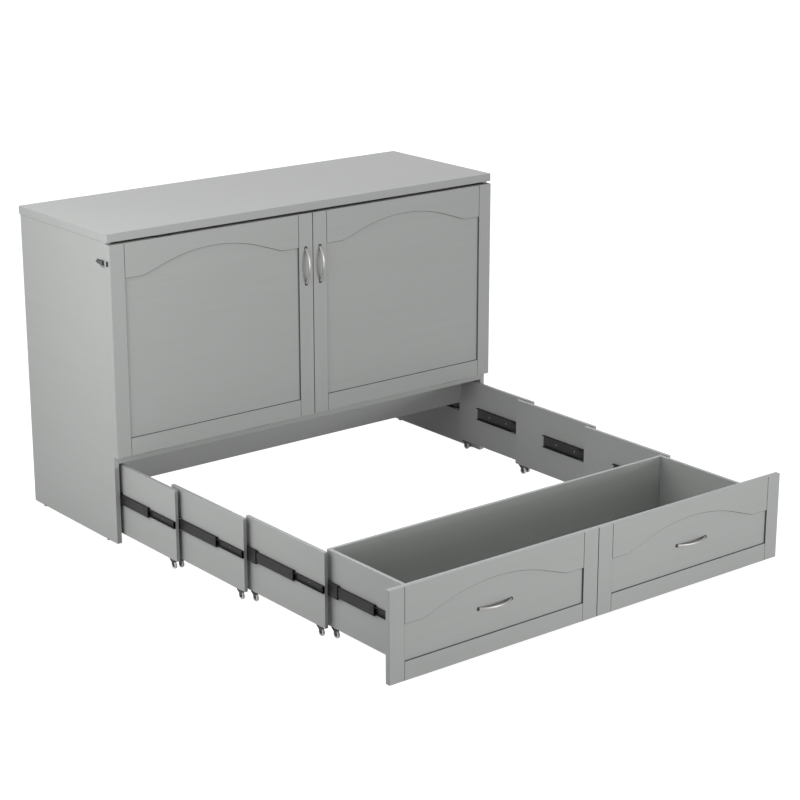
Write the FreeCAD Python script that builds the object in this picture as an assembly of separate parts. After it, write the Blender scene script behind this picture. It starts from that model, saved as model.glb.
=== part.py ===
"""Cabinet bed with a telescoping base, standing with its base pulled out and its front closed.

Millimetres, +Z up, +X to the right of someone facing the front, -Y towards the foot of the bed.
Inside this file Y = 0 is the front edge of the cabinet's side panels; export() moves every piece so
that the origin is the middle of the floor rectangle under the whole bed.
"""
import FreeCAD, Part
import math
import os

Vector = FreeCAD.Vector

# ---------------------------------------------------------------- cabinet carcass
CABINET_WIDTH = 1626.0          # over the outer faces of the side panels
CABINET_DEPTH = 560.0           # front edge to back edge of a side panel
SIDE_THICKNESS = 18.0
GLIDE_HEIGHT = 5.0              # side panels stand this far off the floor
GLIDE_RADIUS = 9.0
GLIDE_INSET = 65.0              # glide centre from either end of a side panel
TOP_UNDERSIDE = 1048.7
TOP_THICKNESS = 28.2
TOP_SIDE_OVERHANG = 6.0
TOP_FRONT_OVERHANG = 17.4
TOP_EDGE_ROUND = 2.0
DECK_TOP = 305.6                # lying surface of the fixed deck
DECK_THICKNESS = 18.3
CLOSING_GAP = 0.5               # front and drawer front stop this far off the cabinet
BACK_THICKNESS = 6.0
BACK_REBATE = 9.0               # how far the back panel reaches into each side panel
STRETCHER_HEIGHT = 100.0
STRETCHER_THICKNESS = 18.0

# ---------------------------------------------------------------- fold-down front
FRONT_BOTTOM_GAP = 9.0          # above the deck
FRONT_TOP_GAP = 7.7             # below the top slab
FRONT_CORE_THICKNESS = 18.3
FRAME_THICKNESS = 6.0           # stiles and rails stand this proud of the core
OUTER_STILE_WIDTH = 55.0
CENTRE_STILE_WIDTH = 60.0
CENTRE_SLOT = 1.6               # dark line between the two door shapes
BOTTOM_RAIL_WIDTH = 62.0
FRONT_SHOULDER_DROP = 117.5     # top edge down to the flat shoulders beside the arch
ARCH_RISE = 61.5                # shoulders up to the crown
ARCH_SHOULDER_WIDTH = 63.0      # flat shoulder at each end of the arch
ARCH_FOOT_RADIUS = 45.0         # small reverse curve where the arch leaves the shoulder
ARCH_STEEPNESS = 1.6            # slope of the straight flank over rise / half width

# ---------------------------------------------------------------- telescoping base
SECTION_COUNT = 3
SECTION_THICKNESS = 12.0
WHEEL_HEADROOM = 7.0            # top of a wheel to the lower edge of its panel
LOWERED_CLEARANCE = 2.3         # lowered front above the sections
SECTION_LENGTH = 413.0
SECTION_SET_BACK = (67.0, 48.0, 48.0)           # front ends behind the cabinet front when closed
TRAVELS = (388.0, 335.0, 391.0, 350.0)          # three sections, then the drawer
CROSS_RAIL_HEIGHT = 96.0
CROSS_RAIL_THICKNESS = 12.0

# ---------------------------------------------------------------- drawer at the foot
DRAWER_BOX_LENGTH = 420.0
DRAWER_BOX_LIFT = 1.0           # top of the box above the sections
DRAWER_FRONT_BOTTOM = 17.9
DRAWER_FRONT_GAP = 4.9          # below the fold-down front when both are closed
DRAWER_CORE_THICKNESS = 12.4
DRAWER_SHOULDER_DROP = 116.2
DRAWER_RAIL_WIDTH = 60.7
DRAWER_BOTTOM_THICKNESS = 6.0
DRAWER_BOTTOM_LIFT = 8.0        # bottom panel above the lower edge of the box
DRAWER_GROOVE = 5.0             # how far the bottom panel's tongue reaches into the box walls
DRAWER_TONGUE_DROP = 1.5        # tongue below the upper face of the bottom panel

# ---------------------------------------------------------------- three-part ball-bearing slides
SLIDE_SPACE = 13.0              # between two neighbouring panels
SLIDE_CENTRE_RISE = 128.0       # above the lower edge of the sections
SLIDE_LENGTH = 305.0
SLIDE_METAL = 1.2
SLIDE_BEND = 1.8                # outer radius where the sheet turns
OUTER_HEIGHT = 45.0
OUTER_DEPTH = 10.2
MIDDLE_HEIGHT = 35.0
MIDDLE_START = 2.4              # back of the middle member off the outer panel
MIDDLE_DEPTH = 9.0
INNER_HEIGHT = 25.0
INNER_DEPTH = 8.0
LIP = 2.6                       # curled edge of the outer and middle members
CHANNEL_PROUD = (0.0, 0.0, 45.0, 45.0)          # outer member ahead of the end it is fixed to
MIDDLE_REACH = (163.0, 207.0, 192.0, 172.0)     # middle member out of its outer member when open
BUMPER_LENGTH = 5.0
SCREW_HOLE_RADIUS = 2.3
SLOT_LENGTH = 9.0
OUTER_HOLES = (14.0, 110.0, 270.0)              # behind the front end of the outer member
OUTER_SLOTS = (46.0, 142.0, 238.0)
MIDDLE_HOLES = (12.0, 290.0)
INNER_HOLES = (14.0, 78.0, 174.0, 270.0)

# ---------------------------------------------------------------- casters under every section
WHEEL_RADIUS = 12.5
WHEEL_WIDTH = 8.0
WHEEL_TREAD_ROUND = 1.5
HUB_RADIUS = 6.0
HUB_RECESS = 1.2
AXLE_RADIUS = 2.0
RUNNING_CLEARANCE = 0.05        # radial, for every pin in its bore
SIDE_CLEARANCE = 0.3            # wheel to fork cheek, lever to ear
FORK_METAL = 1.3
FORK_BEND = 1.2                 # outer radius between plate and cheek
FORK_PLATE_LENGTH = 28.0
FORK_TRAIL = 6.0                # axle ahead of the middle of the fork plate
FORK_FOOT_RADIUS = 4.5
CASTER_INSET = 32.0             # fork plate centre from the end of its panel

# ---------------------------------------------------------------- hinges of the fold-down front
HINGE_COUNT = 4
HINGE_LENGTH = 76.0
HINGE_SPREAD = 1300.0           # first hinge to last hinge
HINGE_BARREL_RADIUS = 4.0
HINGE_PIN_RADIUS = 1.6
HINGE_METAL = 1.5
HINGE_LEAF_WIDTH = 30.0
HINGE_STAND_OFF = 0.2           # barrel off the deck and off the front
KNUCKLE_GAP = 0.4

# ---------------------------------------------------------------- second deck leaf behind the front
LEAF_THICKNESS = 18.0
LEAF_FACE_GAP = 2.0             # front core to leaf
LEAF_SIDE_GAP = 7.0             # leaf to side panel
LEAF_BOTTOM_GAP = 5.0           # above the barrels of the front's hinges
LEAF_TOP_DROP = 3.0             # below the top edge of the front
LEAF_HINGE_COUNT = 3
LEAF_HINGE_SPREAD = 1200.0
LEAF_HINGE_LENGTH = 60.0
LEAF_HINGE_BARREL = 2.4

# ---------------------------------------------------------------- bow handles
HANDLE_CENTRES = 128.0
HANDLE_PROJECTION = 24.0
HANDLE_BAR_WIDTH = 9.0
HANDLE_BAR_THICKNESS = 5.0
HANDLE_FOOT_LENGTH = 15.0
HANDLE_FOOT_WIDTH = 12.0
HANDLE_FOOT_THICKNESS = 3.0
FRONT_HANDLE_DROP = 184.5       # middle of an upright handle below the top edge of the front
DRAWER_HANDLE_RISE = 148.1      # middle of a drawer handle above the lower edge of the drawer front

# ---------------------------------------------------------------- toggle latches on the cabinet sides
LATCH_DROP = 64.0               # middle of the latch below the top edge of the front
LATCH_START = 12.0              # front end of the base plate behind the side panel's front edge
LATCH_LENGTH = 43.0
LATCH_WIDTH = 16.0
LATCH_METAL = 1.5
LATCH_PIVOT_BACK = 5.5          # lever pivot behind the front end of the base plate
LATCH_PIVOT_OUT = 4.5
LATCH_PIVOT_RADIUS = 1.25
LEVER_BARREL_RADIUS = 2.5
BAIL_PIVOT_BACK = 8.0           # bail pivot behind the lever pivot
BAIL_PIVOT_OUT = 6.0
BAIL_WIRE_RADIUS = 1.0
BAIL_REACH = 34.5
BAIL_SLACK_DEG = 10.0           # the loose bail stands this far off the side
BAIL_HALF_WIDTH = 9.5
KEEPER_LENGTH = 11.0
KEEPER_BEHIND_FACE = 10.0       # keeper's front end behind the front face of the front
KEEPER_LIP_HEIGHT = 5.0

# ---------------------------------------------------------------- places that follow from the sizes
HALF_WIDTH = CABINET_WIDTH / 2
FRONT_BOTTOM = DECK_TOP + FRONT_BOTTOM_GAP
FRONT_TOP = TOP_UNDERSIDE - FRONT_TOP_GAP
FRONT_HANDLE_HEIGHT = FRONT_TOP - FRONT_HANDLE_DROP
LATCH_HEIGHT = FRONT_TOP - LATCH_DROP
SECTION_BOTTOM = 2 * WHEEL_RADIUS + WHEEL_HEADROOM
SECTION_TOP = DECK_TOP - FRONT_CORE_THICKNESS - FRAME_THICKNESS - LOWERED_CLEARANCE
CROSS_RAIL_BOTTOM = SECTION_TOP - CROSS_RAIL_HEIGHT
SLIDE_CENTRE_HEIGHT = SECTION_BOTTOM + SLIDE_CENTRE_RISE
DRAWER_BOX_TOP = SECTION_TOP + DRAWER_BOX_LIFT
DRAWER_FRONT_TOP = FRONT_BOTTOM - DRAWER_FRONT_GAP
DRAWER_HANDLE_HEIGHT = DRAWER_FRONT_BOTTOM + DRAWER_HANDLE_RISE
SIDE_INNER = HALF_WIDTH - SIDE_THICKNESS
DECK_UNDERSIDE = DECK_TOP - DECK_THICKNESS
BACK_FRONT_FACE = CABINET_DEPTH - BACK_THICKNESS
DRAWER_THICKNESS = DRAWER_CORE_THICKNESS + FRAME_THICKNESS
FRONT_BACK = -CLOSING_GAP       # inner face of the closed front
FRONT_FIELD = FRONT_BACK - FRONT_CORE_THICKNESS
FRONT_FACE = FRONT_FIELD - FRAME_THICKNESS
HINGE_Y = FRONT_BACK + HINGE_BARREL_RADIUS + HINGE_STAND_OFF
HINGE_Z = DECK_TOP + HINGE_BARREL_RADIUS + HINGE_STAND_OFF
STAGE_PITCH = SECTION_THICKNESS + SLIDE_SPACE
# outer face of each nested wall, half-width: sections 1 to 3, then the drawer box
WALL_OUTER = [SIDE_INNER - SLIDE_SPACE - stage * STAGE_PITCH for stage in range(SECTION_COUNT + 1)]
CLOSED_FRONT = SECTION_SET_BACK + (-CLOSING_GAP,)
# front end of each nested wall with the base pulled right out
WALL_FRONT = [CLOSED_FRONT[stage] - sum(TRAVELS[:stage + 1]) for stage in range(SECTION_COUNT + 1)]
WALL_LENGTH = [SECTION_LENGTH] * SECTION_COUNT + [DRAWER_BOX_LENGTH]
DRAWER_FACE = WALL_FRONT[SECTION_COUNT] - DRAWER_THICKNESS
DRAWER_FIELD = DRAWER_FACE + FRAME_THICKNESS
FOOT_END = min(DRAWER_FACE, DRAWER_FIELD - HANDLE_PROJECTION)
SHIFT_Y = -(FOOT_END + CABINET_DEPTH) / 2


def box(low, high):
    """Box between two corners given as (x, y, z)."""
    size = [high[i] - low[i] for i in range(3)]
    return Part.makeBox(size[0], size[1], size[2], Vector(*low))


def mirrored(shape):
    """The same piece on the other side of the bed."""
    return shape.mirror(Vector(0, 0, 0), Vector(1, 0, 0))


def pair(shape):
    """A right-hand piece and its left-hand twin."""
    return [shape, mirrored(shape)]


def extrude(wire, direction):
    """Solid from a closed flat wire."""
    return Part.Face(wire).extrude(direction)


def polygon(points):
    """Closed wire through the points."""
    corners = [Vector(*point) for point in points]
    return Part.makePolygon(corners + [corners[0]])


def rod(radius, start, direction, length):
    """Round bar."""
    return Part.makeCylinder(radius, length, Vector(*start), Vector(*direction))


def export(name, solids):
    """Write one node, moved into the frame of the finished part."""
    shape = Part.makeCompound(solids) if len(solids) > 1 else solids[0].copy()
    shape.translate(Vector(0, SHIFT_Y, 0))
    shape.exportStep(os.path.join("parts", name + ".step"))


# ---------------------------------------------------------------- cabinet pieces
def side_panel():
    """Right side panel, rebated along its back inner edge for the back panel."""
    panel = box((SIDE_INNER, 0, GLIDE_HEIGHT), (HALF_WIDTH, CABINET_DEPTH, TOP_UNDERSIDE))
    rebate = box((SIDE_INNER, BACK_FRONT_FACE, DECK_UNDERSIDE),
                 (SIDE_INNER + BACK_REBATE, CABINET_DEPTH, TOP_UNDERSIDE))
    return panel.cut(rebate)


def top_panel():
    """Slab on top, proud of the sides and the front, with its edges eased."""
    reach = HALF_WIDTH + TOP_SIDE_OVERHANG
    slab = box((-reach, -TOP_FRONT_OVERHANG, TOP_UNDERSIDE),
               (reach, CABINET_DEPTH, TOP_UNDERSIDE + TOP_THICKNESS))
    eased = [edge for edge in slab.Edges if edge.BoundBox.YMax < CABINET_DEPTH or edge.BoundBox.YLength > 1]
    return slab.makeFillet(TOP_EDGE_ROUND, eased)


def fixed_deck():
    """Deck board with a shallow pocket at its front edge for each hinge leaf."""
    deck = box((-SIDE_INNER, 0, DECK_UNDERSIDE), (SIDE_INNER, BACK_FRONT_FACE, DECK_TOP))
    half = HINGE_LENGTH / 2
    for x in hinge_places(HINGE_COUNT, HINGE_SPREAD):
        deck = deck.cut(box((x - half, 0, DECK_TOP - HINGE_METAL),
                            (x + half, HINGE_Y + HINGE_LEAF_WIDTH, DECK_TOP)))
    return deck


def floor_glides():
    """Low round glides under the ends of both side panels."""
    middle = HALF_WIDTH - SIDE_THICKNESS / 2
    glides = []
    for y in (GLIDE_INSET, CABINET_DEPTH - GLIDE_INSET):
        glides += pair(rod(min(GLIDE_RADIUS, SIDE_THICKNESS / 2), (middle, y, 0), (0, 0, 1), GLIDE_HEIGHT))
    return glides


# ---------------------------------------------------------------- framed fronts
def arch_top_rail(x_left, x_right, shoulder, top, y_front, thickness):
    """Top rail of one door shape: flat shoulders, short reverse curves, straight flanks and a round crown."""
    middle = (x_left + x_right) / 2
    half = (x_right - x_left) / 2 - ARCH_SHOULDER_WIDTH
    slope = math.atan(ARCH_STEEPNESS * ARCH_RISE / half)
    sine, cosine = math.sin(slope), math.cos(slope)
    # half = radii * sine + flank * cosine and rise = radii * (1 - cosine) + flank * sine
    flank = (ARCH_RISE - half * (1 - cosine) / sine) / (sine - cosine * (1 - cosine) / sine)
    crown_radius = (half - flank * cosine) / sine - ARCH_FOOT_RADIUS

    def at(offset, height):
        return Vector(middle + offset, y_front, shoulder + height)

    def foot(turn):
        return (half - ARCH_FOOT_RADIUS * math.sin(turn), ARCH_FOOT_RADIUS * (1 - math.cos(turn)))

    foot_end, foot_mid = foot(slope), foot(slope / 2)
    crown_end = (crown_radius * sine, ARCH_RISE - crown_radius * (1 - cosine))
    edges = [
        Part.makeLine(Vector(x_left, y_front, top), Vector(x_left, y_front, shoulder)),
        Part.makeLine(Vector(x_left, y_front, shoulder), at(-half, 0)),
        Part.Arc(at(-half, 0), at(-foot_mid[0], foot_mid[1]), at(-foot_end[0], foot_end[1])).toShape(),
        Part.makeLine(at(-foot_end[0], foot_end[1]), at(-crown_end[0], crown_end[1])),
        Part.Arc(at(-crown_end[0], crown_end[1]), at(0, ARCH_RISE), at(crown_end[0], crown_end[1])).toShape(),
        Part.makeLine(at(crown_end[0], crown_end[1]), at(foot_end[0], foot_end[1])),
        Part.Arc(at(foot_end[0], foot_end[1]), at(foot_mid[0], foot_mid[1]), at(half, 0)).toShape(),
        Part.makeLine(at(half, 0), Vector(x_right, y_front, shoulder)),
        Part.makeLine(Vector(x_right, y_front, shoulder), Vector(x_right, y_front, top)),
        Part.makeLine(Vector(x_right, y_front, top), Vector(x_left, y_front, top)),
    ]
    return extrude(Part.Wire(edges), Vector(0, thickness, 0))


def framed_front(y_front, bottom, top, shoulder_drop, rail_width):
    """Stiles, arched top rails and bottom rails that make two door shapes on one board."""
    y_back = y_front + FRAME_THICKNESS
    field_outer = HALF_WIDTH - OUTER_STILE_WIDTH
    stiles = pair(box((field_outer, y_front, bottom), (HALF_WIDTH, y_back, top)))
    stiles += pair(box((CENTRE_SLOT / 2, y_front, bottom), (CENTRE_STILE_WIDTH, y_back, top)))
    arched = pair(arch_top_rail(CENTRE_STILE_WIDTH, field_outer, top - shoulder_drop, top,
                                y_front, FRAME_THICKNESS))
    lower = pair(box((CENTRE_STILE_WIDTH, y_front, bottom), (field_outer, y_back, bottom + rail_width)))
    return stiles, arched, lower


def bow_handle(middle, along):
    """Arched pull: two oval feet on the board and a flat bowed bar between them.

    middle is the point on the board between the feet, along the unit direction of the bar.
    The arch is drawn in the (along, -Y) plane and thickened sideways.
    """
    out = Vector(0, -1, 0)
    side = along.cross(out)
    span = HANDLE_CENTRES / 2

    def point(distance, height):
        return middle + along * distance + out * height

    outer = Part.Arc(point(-span - HANDLE_BAR_THICKNESS / 2, 0), point(0, HANDLE_PROJECTION),
                     point(span + HANDLE_BAR_THICKNESS / 2, 0)).toShape()
    inner = Part.Arc(point(span - HANDLE_BAR_THICKNESS, 0), point(0, HANDLE_PROJECTION - HANDLE_BAR_THICKNESS),
                     point(-span + HANDLE_BAR_THICKNESS, 0)).toShape()
    ends = [Part.makeLine(point(span + HANDLE_BAR_THICKNESS / 2, 0), point(span - HANDLE_BAR_THICKNESS, 0)),
            Part.makeLine(point(-span + HANDLE_BAR_THICKNESS, 0), point(-span - HANDLE_BAR_THICKNESS / 2, 0))]
    bar = extrude(Part.Wire([outer, ends[0], inner, ends[1]]), side * HANDLE_BAR_WIDTH)
    bar.translate(side * (-HANDLE_BAR_WIDTH / 2))
    bar = bar.makeFillet(HANDLE_BAR_THICKNESS * 0.3, [e for e in bar.Edges if e.Length > HANDLE_CENTRES * 0.8])
    handle = bar
    for end in (-span, span):
        foot = Part.makeCylinder(HANDLE_FOOT_WIDTH / 2, HANDLE_FOOT_THICKNESS, point(end, 0), out)
        handle = handle.fuse(foot)
    return handle.removeSplitter()


# ---------------------------------------------------------------- slides
def channel(start, opening, height, depth, lip=0.0):
    """C-shaped slide member in the (across, up) plane: web, two flanges and, with a lip, two curled lips.

    start is the outer face of the web, opening is +1 or -1 for the side the C opens to.
    """
    half = height / 2
    metal = SLIDE_METAL
    upper = [(metal, half - metal), (depth, half - metal), (depth, half), (0, half)]
    if lip:
        upper = [(metal, half - metal), (depth - metal, half - metal), (depth - metal, half - lip),
                 (depth, half - lip), (depth, half), (0, half)]
    outline = [(across, -up) for across, up in reversed(upper)] + upper
    return [(start - opening * across, SLIDE_CENTRE_HEIGHT + up) for across, up in outline]


def bent(solid, radius, faces_x):
    """Round the long top and bottom edges of a sheet-metal piece on the given upright faces."""
    bound = solid.BoundBox

    def is_bend(edge):
        place = edge.BoundBox
        runs_along = place.YLength > 0.9 * bound.YLength
        at_face = any(abs(place.XMin - x) < 0.01 for x in faces_x)
        at_end = abs(place.ZMin - bound.ZMin) < 0.01 or abs(place.ZMax - bound.ZMax) < 0.01
        return runs_along and at_face and at_end

    return solid.makeFillet(radius, [edge for edge in solid.Edges if is_bend(edge)])


def member(outline, y_front, faces):
    """Slide member of full length from its outline in the XZ plane, bent at the given faces of the outline."""
    wire = polygon([(x, y_front, z) for x, z in outline])
    return bent(extrude(wire, Vector(0, SLIDE_LENGTH, 0)), SLIDE_BEND, faces)


def pierced(solid, y_front, holes, slots=()):
    """Cut screw holes and upright slots through the web of a slide member."""
    x = solid.BoundBox.XMin
    through = solid.BoundBox.XLength
    half = SLOT_LENGTH / 2 - SCREW_HOLE_RADIUS
    for offset in holes:
        start = (x, y_front + offset, SLIDE_CENTRE_HEIGHT)
        solid = solid.cut(rod(SCREW_HOLE_RADIUS, start, (1, 0, 0), through))
    for offset in slots:
        y = y_front + offset
        slot = box((x, y - SCREW_HOLE_RADIUS, SLIDE_CENTRE_HEIGHT - half),
                   (x + through, y + SCREW_HOLE_RADIUS, SLIDE_CENTRE_HEIGHT + half))
        for z in (SLIDE_CENTRE_HEIGHT - half, SLIDE_CENTRE_HEIGHT + half):
            slot = slot.fuse(rod(SCREW_HOLE_RADIUS, (x, y, z), (1, 0, 0), through))
        solid = solid.cut(slot)
    return solid


def outer_face_of_channel(stage):
    """Inner face of the wall that carries the outer member of this slide."""
    return WALL_OUTER[stage] + SLIDE_SPACE


def channel_front(stage):
    """Front end of a slide's outer member."""
    carrier_front = 0.0 if stage == 0 else WALL_FRONT[stage - 1]
    return carrier_front - CHANNEL_PROUD[stage]


def slide_outer(stage):
    """Outer member, fixed to the cabinet side or to the section before."""
    start = outer_face_of_channel(stage)
    outline = channel(start, 1, OUTER_HEIGHT, OUTER_DEPTH, LIP)
    rail = member(outline, channel_front(stage), (start, start - OUTER_DEPTH))
    return pierced(rail, channel_front(stage), OUTER_HOLES, OUTER_SLOTS)


def slide_middle(stage):
    """Middle member that travels half as far, and the bumper clipped over its front end."""
    y_front = channel_front(stage) - MIDDLE_REACH[stage]
    start = outer_face_of_channel(stage) - MIDDLE_START
    outline = channel(start, 1, MIDDLE_HEIGHT, MIDDLE_DEPTH, LIP)
    rail = member(outline, y_front, (start, start - MIDDLE_DEPTH))
    rail = pierced(rail, y_front, MIDDLE_HOLES)
    inner_edge = INNER_HEIGHT / 2 + SIDE_CLEARANCE
    bumper_low = [(0, -MIDDLE_HEIGHT / 2), (MIDDLE_DEPTH, -MIDDLE_HEIGHT / 2), (MIDDLE_DEPTH, -inner_edge),
                  (SLIDE_METAL, -inner_edge), (SLIDE_METAL, inner_edge), (MIDDLE_DEPTH, inner_edge),
                  (MIDDLE_DEPTH, MIDDLE_HEIGHT / 2), (0, MIDDLE_HEIGHT / 2)]
    wire = polygon([(start - across, y_front - BUMPER_LENGTH, SLIDE_CENTRE_HEIGHT + up)
                    for across, up in bumper_low])
    bumper = extrude(wire, Vector(0, BUMPER_LENGTH, 0))
    return rail, bumper


def slide_inner(stage):
    """Inner member, fixed to the outer face of the section or drawer that moves."""
    outline = channel(WALL_OUTER[stage], -1, INNER_HEIGHT, INNER_DEPTH)
    rail = member(outline, WALL_FRONT[stage], (WALL_OUTER[stage],))
    return pierced(rail, WALL_FRONT[stage], INNER_HOLES)


# ---------------------------------------------------------------- base sections and casters
def section_panel(stage):
    """Right-hand panel of one telescoping section."""
    return box((WALL_OUTER[stage] - SECTION_THICKNESS, WALL_FRONT[stage], SECTION_BOTTOM),
               (WALL_OUTER[stage], WALL_FRONT[stage] + SECTION_LENGTH, SECTION_TOP))


def caster_places(stage):
    """(x, y) of the middle of each fork plate on the right: front first."""
    middle = WALL_OUTER[stage] - SECTION_THICKNESS / 2
    front = WALL_FRONT[stage]
    return [(middle, front + CASTER_INSET), (middle, front + WALL_LENGTH[stage] - CASTER_INSET)]


def caster_fork(x, y):
    """Small fixed fork: plate under the panel and two raked cheeks that carry the axle."""
    half = WHEEL_WIDTH / 2 + SIDE_CLEARANCE
    plate_half = FORK_PLATE_LENGTH / 2
    axle_y = y - FORK_TRAIL
    reach = half + FORK_METAL
    plate = box((x - reach, y - plate_half, SECTION_BOTTOM - FORK_METAL),
                (x + reach, y + plate_half, SECTION_BOTTOM))
    top = SECTION_BOTTOM - FORK_METAL
    foot = FORK_FOOT_RADIUS
    cheek_edges = [
        Part.makeLine(Vector(0, y + plate_half, top), Vector(0, y - plate_half, top)),
        Part.makeLine(Vector(0, y - plate_half, top), Vector(0, axle_y - foot, WHEEL_RADIUS)),
        Part.Arc(Vector(0, axle_y - foot, WHEEL_RADIUS), Vector(0, axle_y, WHEEL_RADIUS - foot),
                 Vector(0, axle_y + foot, WHEEL_RADIUS)).toShape(),
        Part.makeLine(Vector(0, axle_y + foot, WHEEL_RADIUS), Vector(0, y + plate_half, top)),
    ]
    cheek = extrude(Part.Wire(cheek_edges), Vector(FORK_METAL, 0, 0))
    fork = plate
    for start in (x + half, x - reach):
        placed = cheek.copy()
        placed.translate(Vector(start, 0, 0))
        fork = fork.fuse(placed)
    fork = fork.removeSplitter()
    bends = [edge for edge in fork.Edges
             if edge.BoundBox.ZMin > SECTION_BOTTOM - 0.01 and edge.BoundBox.YLength > plate_half]
    hole = rod(AXLE_RADIUS, (x - reach, axle_y, WHEEL_RADIUS), (1, 0, 0), 2 * reach)
    return fork.makeFillet(FORK_BEND, bends).cut(hole)


def caster_axle(x, y):
    """Axle riveted through both cheeks."""
    reach = WHEEL_WIDTH / 2 + SIDE_CLEARANCE + FORK_METAL
    return rod(AXLE_RADIUS, (x - reach, y - FORK_TRAIL, WHEEL_RADIUS), (1, 0, 0), 2 * reach)


def caster_wheel(x, y):
    """Wheel turned with a rounded tread and a shallow recess round the hub."""
    half = WHEEL_WIDTH / 2
    ease = WHEEL_TREAD_ROUND
    bore = AXLE_RADIUS + RUNNING_CLEARANCE
    rim = WHEEL_RADIUS - 3 * ease
    profile = [(-half, bore), (-half, HUB_RADIUS - ease), (-half + HUB_RECESS, HUB_RADIUS),
               (-half + HUB_RECESS, rim), (-half, rim + ease), (-half, WHEEL_RADIUS - ease),
               (-half + ease, WHEEL_RADIUS)]
    outline = profile + [(-across, radius) for across, radius in reversed(profile)]
    axle_y = y - FORK_TRAIL
    wire = polygon([(x + across, axle_y, WHEEL_RADIUS + radius) for across, radius in outline])
    return Part.Face(wire).revolve(Vector(x, axle_y, WHEEL_RADIUS), Vector(1, 0, 0), 360)


# ---------------------------------------------------------------- drawer at the foot
def drawer_pieces():
    """Box walls and bottom: (right side, back, bottom)."""
    outer = WALL_OUTER[SECTION_COUNT]
    inner = outer - SECTION_THICKNESS
    front = WALL_FRONT[SECTION_COUNT]
    back = front + DRAWER_BOX_LENGTH
    low = SECTION_BOTTOM + DRAWER_BOTTOM_LIFT
    rear_inner = back - SECTION_THICKNESS
    tongue = box((-inner - DRAWER_GROOVE, front, low),
                 (inner + DRAWER_GROOVE, rear_inner + DRAWER_GROOVE,
                  low + DRAWER_BOTTOM_THICKNESS - DRAWER_TONGUE_DROP))
    bottom = tongue.fuse(box((-inner, front, low), (inner, rear_inner, low + DRAWER_BOTTOM_THICKNESS)))
    bottom = bottom.removeSplitter()
    side = box((inner, front, SECTION_BOTTOM), (outer, back, DRAWER_BOX_TOP)).cut(bottom)
    rear = box((-inner, rear_inner, SECTION_BOTTOM), (inner, back, DRAWER_BOX_TOP)).cut(bottom)
    return side, rear, bottom


# ---------------------------------------------------------------- hinges
def hinge_places(count, spread):
    """Middles of a row of hinges, symmetrical about the centre."""
    return [spread * (i / (count - 1) - 0.5) for i in range(count)]


def deck_hinge(x):
    """Butt hinge between the fixed deck and the front: (leaf on the deck with its pin, leaf on the front).

    The outer two thirds of the barrel and the riveted pin belong to the deck leaf.
    """
    low, high = x - HINGE_LENGTH / 2, x + HINGE_LENGTH / 2
    tongue_half = HINGE_LENGTH / 6 - KNUCKLE_GAP / 2
    room_half = HINGE_LENGTH / 6 + KNUCKLE_GAP / 2

    def barrel(radius, start, end):
        return rod(radius, (start, HINGE_Y, HINGE_Z), (1, 0, 0), end - start)

    room = barrel(HINGE_BARREL_RADIUS + KNUCKLE_GAP, x - room_half, x + room_half)
    # the fixed leaf is let in flush with the deck and rises at its edge to the barrel
    leaf_z = DECK_TOP - HINGE_METAL
    plate = box((low, HINGE_Y, leaf_z), (high, HINGE_Y + HINGE_LEAF_WIDTH, DECK_TOP))
    rise = box((low, HINGE_Y, leaf_z), (high, HINGE_Y + HINGE_METAL, HINGE_Z))
    fixed = plate.fuse(rise).fuse(barrel(HINGE_BARREL_RADIUS, low, high)).cut(room)
    fixed = fixed.fuse(barrel(HINGE_PIN_RADIUS, low, high))

    # the moving leaf is let into the back of the front and turns in to its knuckle
    leaf_y = FRONT_BACK - HINGE_METAL
    moving = box((low, leaf_y, FRONT_BOTTOM), (high, FRONT_BACK, FRONT_BOTTOM + HINGE_LEAF_WIDTH))
    turn_in = box((x - tongue_half, leaf_y, FRONT_BOTTOM),
                  (x + tongue_half, HINGE_Y, FRONT_BOTTOM + HINGE_METAL))
    drop = box((x - tongue_half, FRONT_BACK + HINGE_STAND_OFF, HINGE_Z + HINGE_BARREL_RADIUS / 2),
               (x + tongue_half, HINGE_Y, FRONT_BOTTOM + HINGE_METAL))
    knuckle = barrel(HINGE_BARREL_RADIUS, x - tongue_half, x + tongue_half)
    moving = moving.fuse(turn_in).fuse(drop).fuse(knuckle)
    moving = moving.cut(barrel(HINGE_PIN_RADIUS + RUNNING_CLEARANCE, low, high))
    return fixed.removeSplitter(), moving.removeSplitter()


def leaf_hinge(x):
    """Flat hinge across the top edges of the front and the folded leaf."""
    half = LEAF_HINGE_LENGTH / 2
    barrel_y = FRONT_BACK + LEAF_FACE_GAP / 2
    leaf_face = FRONT_BACK + LEAF_FACE_GAP
    top = FRONT_TOP
    barrel = rod(LEAF_HINGE_BARREL, (x - half, barrel_y, top + HINGE_METAL), (1, 0, 0), LEAF_HINGE_LENGTH)
    front_plate = box((x - half, FRONT_FIELD, top), (x + half, barrel_y, top + HINGE_METAL))
    leaf_top = top - LEAF_TOP_DROP
    leaf_plate = box((x - half, leaf_face, leaf_top),
                     (x + half, leaf_face + LEAF_THICKNESS, leaf_top + HINGE_METAL))
    riser = box((x - half, leaf_face, leaf_top), (x + half, leaf_face + HINGE_METAL, top + HINGE_METAL))
    below = box((x - half - 1, FRONT_FIELD, leaf_top - 1), (x + half + 1, FRONT_BACK, top))
    barrel = barrel.cut(below)
    return front_plate.fuse(barrel).fuse(riser).fuse(leaf_plate).removeSplitter()


# ---------------------------------------------------------------- latches
LEVER_Y = LATCH_START + LATCH_PIVOT_BACK
LEVER_X = HALF_WIDTH + LATCH_PIVOT_OUT
BAIL_Y = LEVER_Y + BAIL_PIVOT_BACK
BAIL_X = HALF_WIDTH + BAIL_PIVOT_OUT
EAR_INNER = LATCH_WIDTH / 2 - LATCH_METAL
LEVER_HALF = EAR_INNER - SIDE_CLEARANCE


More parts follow.
